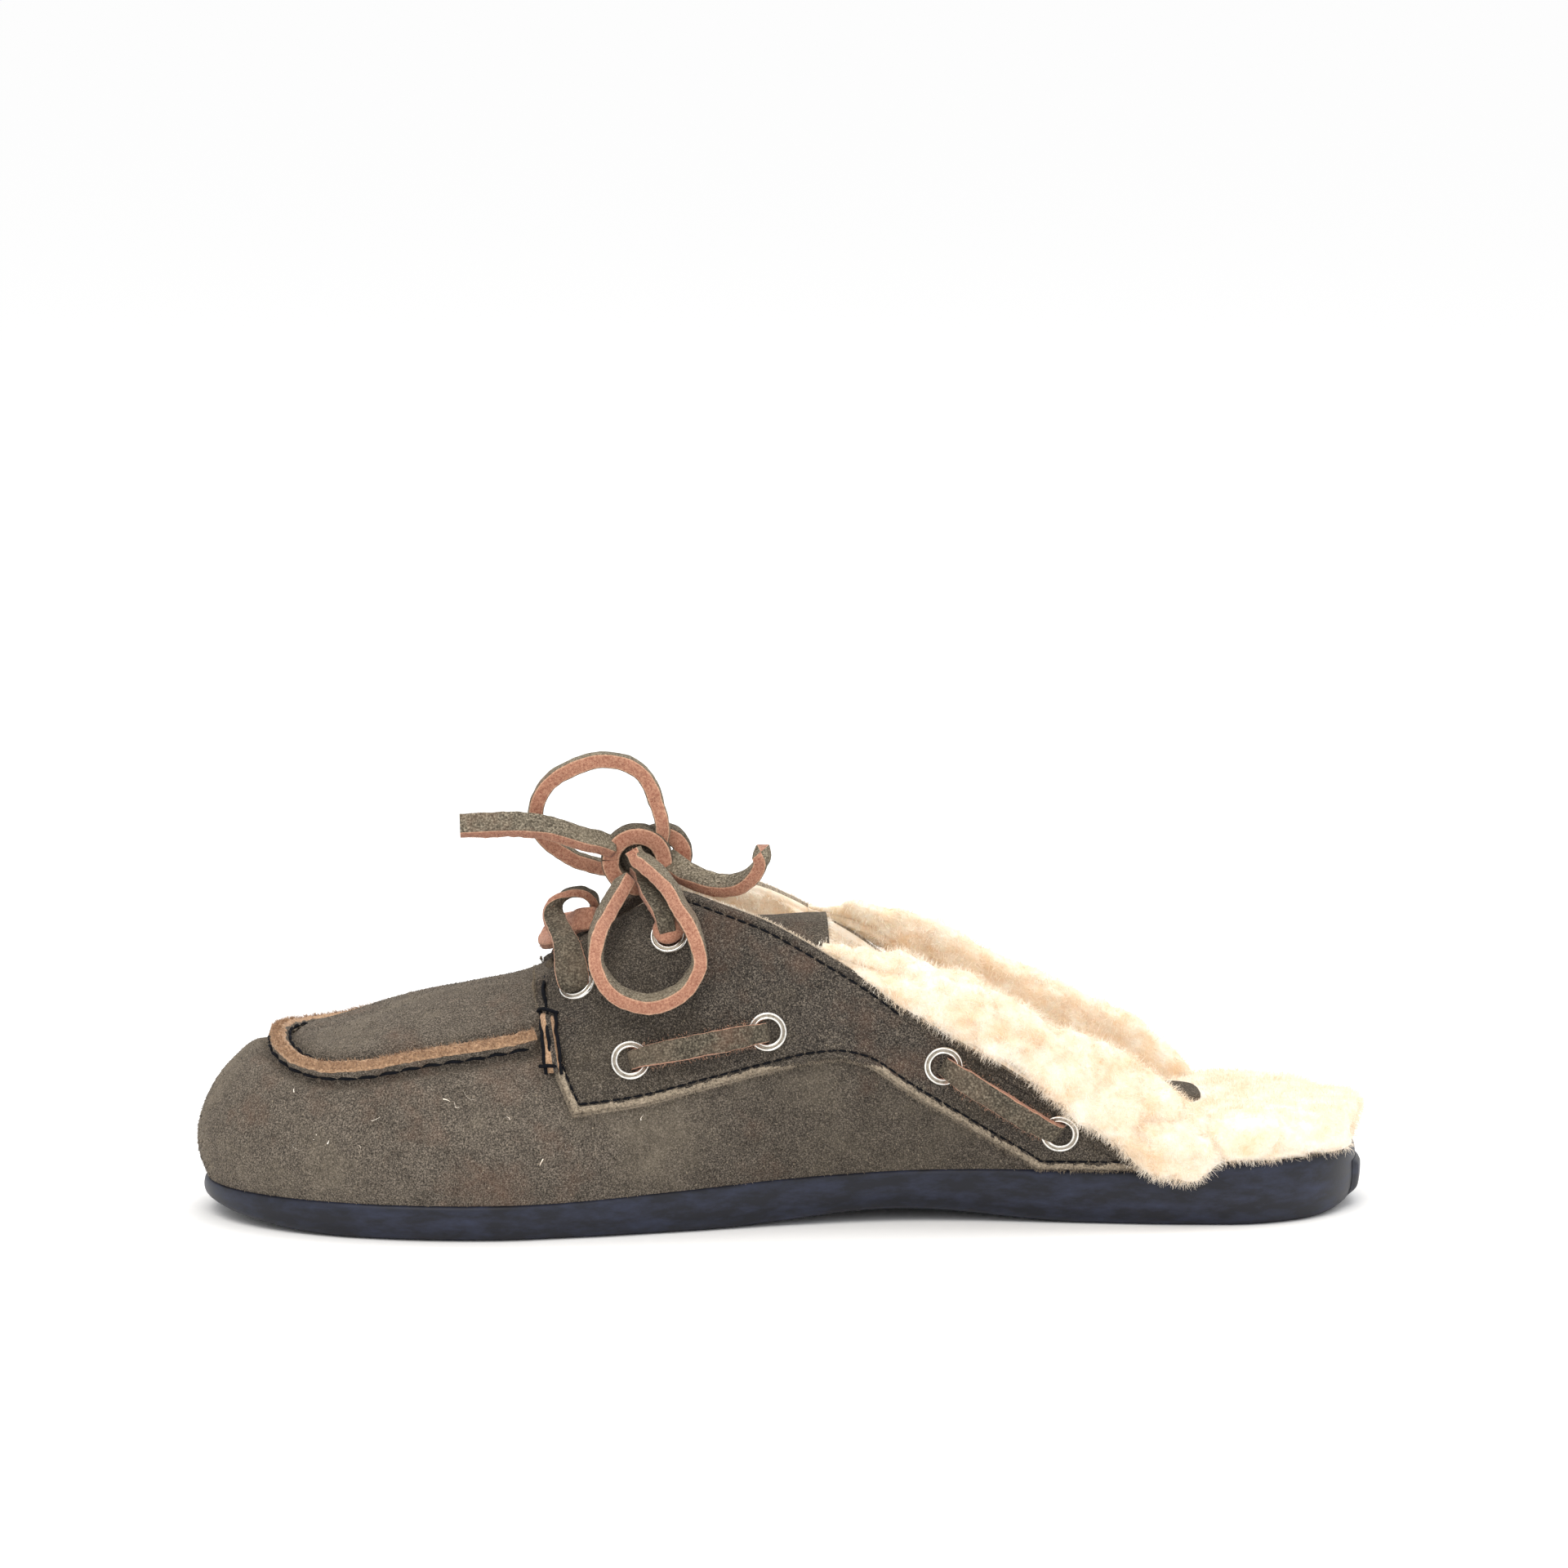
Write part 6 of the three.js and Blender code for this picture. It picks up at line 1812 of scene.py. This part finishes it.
@dataclass
class Lace:
    """Flat leather lace with olive faces and pink-tan cut edges."""

    last: Last
    dress: Wardrobe
    width: float = 5.3
    loop_thickness: float = 3.5
    end_thickness: float = 3.3
    seat: float = 2.0

    def section(self, wide: Array, thick: Array) -> tuple[Array, Array]:
        """Corners of a soft-edged strip, and the material of each side.

        Args:
            wide: Its width.
            thick: Its thickness.

        Returns:
            Corners, and the material of each side.
        """
        shape = np.array([
            (-0.5, -0.36), (-0.48, -0.45), (-0.42, -0.5), (0.0, -0.52), (0.42, -0.5), (0.48, -0.45),
            (0.5, -0.36), (0.5, 0.36), (0.48, 0.45), (0.42, 0.5), (0.0, 0.52), (-0.42, 0.5), (-0.48, 0.45),
            (-0.5, 0.36),
        ])
        # Slot 2, on the small corner facets, takes the paler edge: painted highlight where the corners catch
        # light.
        slots = np.array([2, 0, 0, 0, 0, 2, 1, 2, 0, 0, 0, 0, 2, 1])
        return shape[None] * np.stack([wide, thick], -1)[:, None], slots

    def strip(self, piece: Piece, route: Array, across: Array, wide: Array | float, thick: Array | float,
              seed: int = 91, flesh: bool = False) -> None:
        """A strip along a route, its width along the directions given.

        Args:
            piece: The piece that gets it.
            route: Its middle line.
            across: Direction of its width.
            wide: Its width.
            thick: Its thickness.
            seed: Which roughness.
            flesh: Whether its faces show the leather's inside.
        """
        count = len(route)
        wide = np.broadcast_to(np.asarray(wide, float), (count,))
        thick = np.broadcast_to(np.asarray(thick, float), (count,))
        ahead = unit(np.gradient(route, axis=0))
        aside = across - np.sum(across * ahead, -1, keepdims=True) * ahead
        aside = unit(aside)
        up = np.cross(aside, ahead)
        shape, slots = self.section(wide, thick)
        grid = route[:, None] + aside[:, None] * shape[..., :1] + up[:, None] * shape[..., 1:]
        if flesh:
            slots = np.where(slots == 0, 1, slots)
        rough = grain(grid, 1.3, seed) * 0.16 + grain(grid, 5.0, seed + 1) * 0.18
        grid = grid + unit(grid - route[:, None]) * rough[..., None]
        piece.tube(grid, slots)

    def fuzz(self, piece: Piece, route: Array, across: Array, count: int = 500) -> None:
        """Short fibres on a strip's cut edges.

        Args:
            piece: The piece that gets them.
            route: Its middle line.
            across: Direction of its width.
            count: How many.
        """
        rng = np.random.default_rng(92)
        fleece = Fleece(count, length=0.5, width=0.11, curl=0.3, lean=0.0, seed=93, joints=3)
        pick = rng.integers(1, len(route) - 1, count)
        way = unit(across[pick]) * rng.choice([-1, 1], count)[:, None]
        place = route[pick] + way * self.width * 0.48 + rng.normal(0, 0.45, (count, 3))
        fleece.grow(piece, place, way, (0, 0, 0), 2)

    def materials(self, free: bool = False) -> list[bpy.types.Material]:
        """Faces, edges, painted highlights on the edges' corners that the edge fuzz shares, and dark suede as
        painted shadow inside the knot; the free cords get paler faces, painted light.
        """
        # The free cords take the paler face copy: painted light.
        face = self.dress.lit_bow_face if free else self.dress.lace_face
        # Slot 3, the tongue's dark suede, is the painted shadow inside the knot.
        return [face, self.dress.lace_edge, self.dress.lace_rim, self.dress.tongue]

    def hole(self, side: Side, name: str) -> tuple[Array, Array]:
        """Middle and normal of an eyelet."""
        at, height = EYELETS[name]
        return self.last.seat(side, np.array(at), np.array(height), self.seat)

    def bars(self) -> None:
        """The two bars outside each quarter."""
        for side in Side:
            for label, first, second in (("front", "side_1", "side_2"), ("rear", "side_3", "side_4")):
                (at_a, z_a), (at_b, z_b) = EYELETS[first], EYELETS[second]
                share = np.linspace(0, 1, 26)
                inner = np.linspace(0.015, 0.985, 26)
                lift = 2.25 + 0.5 * np.sin(np.pi * share) - 1.1 * (np.abs(2 * share - 1) ** 6)
                mid, normals = self.last.seat(side, at_a + (at_b - at_a) * inner, z_a + (z_b - z_a) * inner,
                                              self.seat + lift)
                start, n0 = self.hole(side, first)
                end, n1 = self.hole(side, second)
                run = unit(end - start)
                head = [start - n0 * 3.2 + run * 0.6, start - n0 * 1.0 + run * 0.5]
                tail = [end - n1 * 1.0 - run * 0.5, end - n1 * 3.2 - run * 0.6]
                route = catmull([*head, *mid[1:-1:3], mid[-2], *tail], 60)
                normal = np.concatenate([[n0] * 17, normals, [n1] * 17])
                across = np.cross(np.broadcast_to(run, route.shape), normal)
                gone = np.linspace(0, 1, 60)
                wide = 4.4 + (self.width - 4.4) * smooth_step(np.minimum(gone, 1 - gone), 0.08, 0.3)
                node = f"lace_bar_{side.name.lower()}_{label}"
                piece = Piece(f"{node}_strip", self.last)
                self.strip(piece, route, across, wide, 1.9)
                self.fuzz(piece, route[8:-8], across[8:-8])
                piece.build(self.materials(), "raw_leather", [node])

    def crossing(self) -> None:
        """The strands over the front of the throat."""
        piece = Piece("lace_crossing_strands", self.last)
        for side in Side:
            point, normal = self.hole(side, "throat_front")
            out = float(side * 0.8 * normal[1] - 0.6 * normal[2])
            drop = unit(np.array([0.0, side * 0.8, -0.6]) - normal * out)
            ends = [point + normal * 2.9 - drop * 1.8, point + normal * 1.9 + drop * 0.8,
                    point - normal * 0.6 + drop * 1.1, point - normal * 2.8 + drop * 0.4]
            route = catmull([*CROSSING[side], *ends], 70)
            share = np.linspace(0, 1, 70)[:, None]
            turn = smooth_step(share, 0.22, 0.55)
            upright = np.array([0.1, 1.0, 0.0]) if side == Side.MEDIAL else np.array([0.35, 0.1, 0.9])
            across = upright * (1 - turn) + np.array([1.0, 0, 0.2]) * turn
            wide = self.width + 2.4 * smooth_step(share[:, 0], 0.55, 0.85)
            wide = wide - 4.6 * smooth_step(share[:, 0], 0.88, 0.97)
            self.strip(piece, route, across, wide, 2.1, 95, flesh=side == Side.LATERAL)
            self.fuzz(piece, route[4:-10], across[4:-10])
        piece.build(self.materials(), "raw_leather", ["lace_crossing"])

    def bow(self) -> None:
        """The knot, its loops and ends, as free cords."""
        knot = self.knot()
        routes = (
            ("lace_loop_upper", LOOP_UPPER, (0, 1, 0), (0, 1, 0), "knot", 130),
            ("lace_loop_lower", LOOP_LOWER, (0, 1, 0.2), (0, 1, 0.2), "knot", 150),
            ("lace_end_left", END_LEFT, (0, 0.8, 0.6), (0, 0.55, 0.85), "bare", 60),
            ("lace_end_right", END_RIGHT, (0, 0.7, 0.7), (0.3, 0.9, 0.3), "bare", 60),
        )
        for name, points, first, final, far_end, count in routes:
            route = catmull(points, count)
            share = np.linspace(0, 1, count)[:, None]
            across = np.array(first, float) * (1 - share) + np.array(final, float) * share
            piece = Piece(f"{name}_strip", self.last)
            thick = self.loop_thickness if "loop" in name else self.end_thickness
            self.strip(piece, route, across, self.width, thick)
            self.fuzz(piece, route, across, count=count * 16)
            # True gives the paler faces, painted light.
            made = piece.build(self.materials(True), "raw_leather", [name])

    def knot(self) -> bpy.types.Object:
        """Two wraps, a plug of dark suede behind the ring's hollow as painted shadow, and the legs down to
        the rear throat eyelets.

        Returns:
            The object.
        """
        piece = Piece("lace_knot_wraps", self.last)
        angle = np.linspace(np.pi, 3 * np.pi, 60)
        for middle, radius, thick, tilt, squeeze in (
            (KNOT_MIDDLE, 6.3, 4.2, 0.12, 0.96), (SECOND_WRAP_MIDDLE, 4.8, 4.2, -0.25, 1.0),
        ):
            x = np.cos(angle) * radius
            z = np.sin(angle) * radius * squeeze
            y = np.sin(angle + 0.6) * radius * tilt
            route = np.stack([x, y, z], -1) + np.array(middle)
            self.strip(piece, route, np.tile([0.0, 1.0, 0.1], (60, 1)), self.width, thick, 97)
        # Painted shadow: a plug of dark tongue suede sits behind the ring's hollow, standing in for the shade
        # inside the knot.
        turn = np.stack([np.cos(angle[:-1]), np.zeros(59), np.sin(angle[:-1])], -1)
        shadow_core_shape = ((0.2, 0.4), (2.0, 0.3), (3.6, 0.9), (4.6, 1.6), (4.6, 3.6), (2.0, 4.4))
        shadow_core = [np.array(KNOT_MIDDLE) + turn * radius + np.array([0, depth, 0]) for radius, depth in shadow_core_shape]
        piece.tube(np.stack(shadow_core), 3)
        for side in Side:
            point, normal = self.hole(side, "throat_rear")
            shift = float(self.last.shift(EYELETS["throat_rear"][0]))
            start = [(x, shift + side * out, z) for x, out, z in KNOT_LEG_START]
            over = []
            for at, height, more in KNOT_LEG_OVER:
                place, facing = self.last.seat(side, np.array(at), np.array(height), self.seat)
                over.append(place + facing * (2.6 + more))
            ends = [point + normal * 2.5, point + normal * 0.6, point - normal * 2.6]
            route = catmull([*start, *over, *ends], 60)
            wide = self.width - 1.0 * smooth_step(np.linspace(0, 1, 60), 0.6, 0.85)
            self.strip(piece, route, np.tile([1.0, 0, 0], (60, 1)), wide, 2.0, 98)
            self.plug(piece, point, normal)
        return piece.build(self.materials(), "raw_leather", ["lace_knot"])

    def plug(self, piece: Piece, point: Array, normal: Array) -> None:
        """The lace's rounded end, seen in the rear throat eyelet.

        Args:
            piece: The piece that gets it.
            point: The eyelet's middle.
            normal: Its outward normal.
        """
        ring = circle(normal, 28)
        shape = (
            (2.4, -1.0), (3.2, 0.3), (3.8, 1.0), (3.8, 1.6), (3.3, 2.1), (2.3, 2.4), (1.1, 2.5), (0.1, 2.5),
        )
        grid = np.stack([point + ring * radius + normal * lift for radius, lift in shape])
        grid = grid + np.array([0, 0, 0.9])
        grid = grid + normal * (grain(grid, 1.2, 99) * 0.2)[..., None]
        piece.grid(grid, 1, wrap=True, flip=True)


@dataclass
class Cuff:
    """Shearling rolled over one collar edge."""

    last: Last
    dress: Wardrobe
    side: Side
    lean: float = 0.35
    fibres: int = 24000
    columns: int = 130
    sides: int = 72

    def surface(self, at: Array, angle: Array) -> Array:
        """Points of the roll by station and angle round it, before its lumps.

        Args:
            at: Station, from 0 at the toe to 1 at the heel.
            angle: Angle round the roll.

        Returns:
            Points in space.
        """
        low = through(CUFF, 1)(at)
        rise = through(CUFF, 3)(at) if self.side == Side.LATERAL else 0.0
        high = through(CUFF, 2)(at) + rise
        foot = np.maximum(self.last.topline(at), self.last.sole_top(at) + 2.2)
        edge, _ = self.last.seat(self.side, at, foot)
        half = through(CUFF, 4)(at) / 2
        up = np.sin(angle) * (high - low) / 2
        out = np.cos(angle) * half
        y = edge[..., 1] - self.side * 1.5 + self.side * (out - self.lean * up)
        x, y, z = np.broadcast_arrays(edge[..., 0], y, (low + high) / 2 + up)
        return np.stack([x, y, z], -1)

    def build(self) -> None:
        """Make the roll and its fibres."""
        ends = np.sin(np.linspace(-np.pi / 2, np.pi / 2, self.columns)) * 0.5 + 0.5
        share = 0.5 * ends + 0.5 * np.linspace(0, 1, self.columns)
        at = CUFF[0][0] + (CUFF[-1][0] - CUFF[0][0]) * share
        angle = np.linspace(0, 2 * np.pi, self.sides, endpoint=False)
        points = self.surface(at[:, None], angle[None])
        middle = points.mean(1, keepdims=True)
        points[0] = middle[0] + (points[0] - middle[0]) * 0.4
        points[-1] = middle[-1] + (points[-1] - middle[-1]) * 0.6
        out = unit(points - middle)
        lumps = grain(points, 9.0, 101) * 1.2 + grain(points, 4.5, 102) * 0.9 + grain(points, 2.2, 103) * 0.5
        lumps -= 0.8 * np.exp(-(grain(points, 11.0, 104) / 0.14) ** 2)
        points = points + out * (lumps - 1.9)[..., None]
        name = self.side.name.lower()
        body = Piece(f"shearling_cuff_{name}_pile", self.last)
        body.tube(points)
        body.build([self.dress.wool], "shearling", [f"shearling_cuff_{name}"])
        hair = Piece(f"shearling_cuff_{name}_fibres", self.last)
        count = self.fibres if self.side == Side.MEDIAL else self.fibres // 2
        fleece = Fleece(count, length=1.7, width=0.1, curl=0.5, lean=0.25, seed=105 + int(self.side))
        rng = np.random.default_rng(106 + int(self.side))
        place, normal = fleece.sample(points, rng, wrap=True)
        inward = np.sum((place - points.mean((0, 1))) * normal, -1).mean() < 0
        fleece.grow(hair, place, -normal if inward else normal, (0.3, 0, 0.1))
        hair.build([self.dress.fibre], "shearling")


@dataclass
class Studio:
    """Camera, floor and soft light."""

    last: Last
    dress: Wardrobe
    floor_half: float = 60.0
    place: tuple[float, float, float] = (-64.0, -1465.82, 311.87)
    yaw: float = -2.523
    pitch: float = 8.161
    focal: float = 7637 / 1920 * 36

    def camera(self) -> None:
        """The camera, at the photograph's own angle."""
        yaw, pitch = math.radians(self.yaw), math.radians(self.pitch)
        level = math.cos(pitch)
        ahead = -np.array([math.sin(yaw) * level, -math.cos(yaw) * level, math.sin(pitch)])
        right = unit(np.cross(ahead, [0, 0, 1]))
        up = np.cross(right, ahead)
        lens = bpy.data.cameras.new("camera")
        lens.lens = self.focal
        lens.sensor_width = 36
        lens.clip_start, lens.clip_end = 0.05, 200
        camera = bpy.data.objects.new("camera", lens)
        where = (np.array(self.place) + self.last.offset) * MM
        turn = Matrix([[right[k], up[k], -ahead[k], where[k]] for k in range(3)] + [[0, 0, 0, 1]])
        camera.matrix_world = turn
        bpy.context.scene.collection.objects.link(camera)
        bpy.context.scene.camera = camera

    def light(self, name: str, place: Sequence[float], size: float, power: float,
              colour: str = "ffffff") -> None:
        """One soft area light aimed at the shoe.

        Args:
            name: Its name.
            place: Where it hangs, in metres.
            size: Side of its square, in metres.
            power: Its power, in watts.
            colour: Six hex digits.
        """
        lamp = bpy.data.lights.new(name, "AREA")
        lamp.energy, lamp.size = power, size
        lamp.color = hex_colour(colour)[:3]
        made = bpy.data.objects.new(name, lamp)
        made.location = place
        aim = np.array([0.0, 0, 0.04]) - np.array(place)
        back = unit(-aim)
        side = unit(np.cross([0.02, 1, 0.01], back))
        up = np.cross(back, side)
        made.matrix_world = Matrix([[side[k], up[k], back[k], place[k]] for k in range(3)] + [[0, 0, 0, 1]])
        bpy.context.scene.collection.objects.link(made)

    def build(self) -> None:
        """Floor, lights and world."""
        size = self.floor_half
        mesh = bpy.data.meshes.new("floor")
        corners = [(-size, -size, 0), (size, -size, 0), (size, size, 0), (-size, size, 0)]
        mesh.from_pydata(corners, [], [(0, 1, 2, 3)])
        mesh.materials.append(self.dress.floor)
        floor = bpy.data.objects.new("floor", mesh)
        bpy.context.scene.collection.objects.link(floor)
        self.light("key", (-0.35, -0.75, 1.25), 0.9, 8.0, "fffaf2")
        self.light("top", (0.3, 0.25, 1.3), 1.1, 7.0)
        self.light("fill", (0.9, -1.1, 0.5), 1.2, 2.0, "f4f8ff")
        world = bpy.data.worlds.new("studio")
        bpy.context.scene.world = world
        world.use_nodes = True
        join(world.node_tree, world.node_tree.nodes["Background"], {"Color": (1, 1, 1, 1), "Strength": 1.0})
        bpy.context.scene.view_settings.view_transform = "Standard"


def shoe_offset(last: Last) -> Array:
    """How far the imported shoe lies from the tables' own origin, read from the patch on the footbed.

    Args:
        last: The last, not moved yet.

    Returns:
        The move, in millimetres.
    """
    low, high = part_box("insole_patch")
    middle = (np.array(low) + np.array(high)) / 2 / MM
    return np.array([middle[0] - float(last.x(PATCH_STATION)), middle[1], 0.0])


def main() -> None:
    """Build the shoe piece by piece and note its size."""
    logging.basicConfig(level=logging.INFO, format="%(name)s %(message)s")
    last = Last()
    last.offset = shoe_offset(last)
    dress = Wardrobe()
    studio = Studio(last, dress)
    studio.camera()
    lace = Lace(last, dress)
    lace.bow()
    lace.bars()
    lace.crossing()
    Sole(last, dress).build()
    Footbed(last, dress).build()
    seam = ApronSeam(last, dress).build()
    Upper(last, dress).build(seam)
    for side in Side:
        Saddle(last, dress, side).build()
        Tack(last, dress, side).build()
        Cuff(last, dress, side).build()
    Tongue(last, dress).build()
    Eyelets(last, dress).build()
    studio.build()


if __name__ == "__main__":
    main()
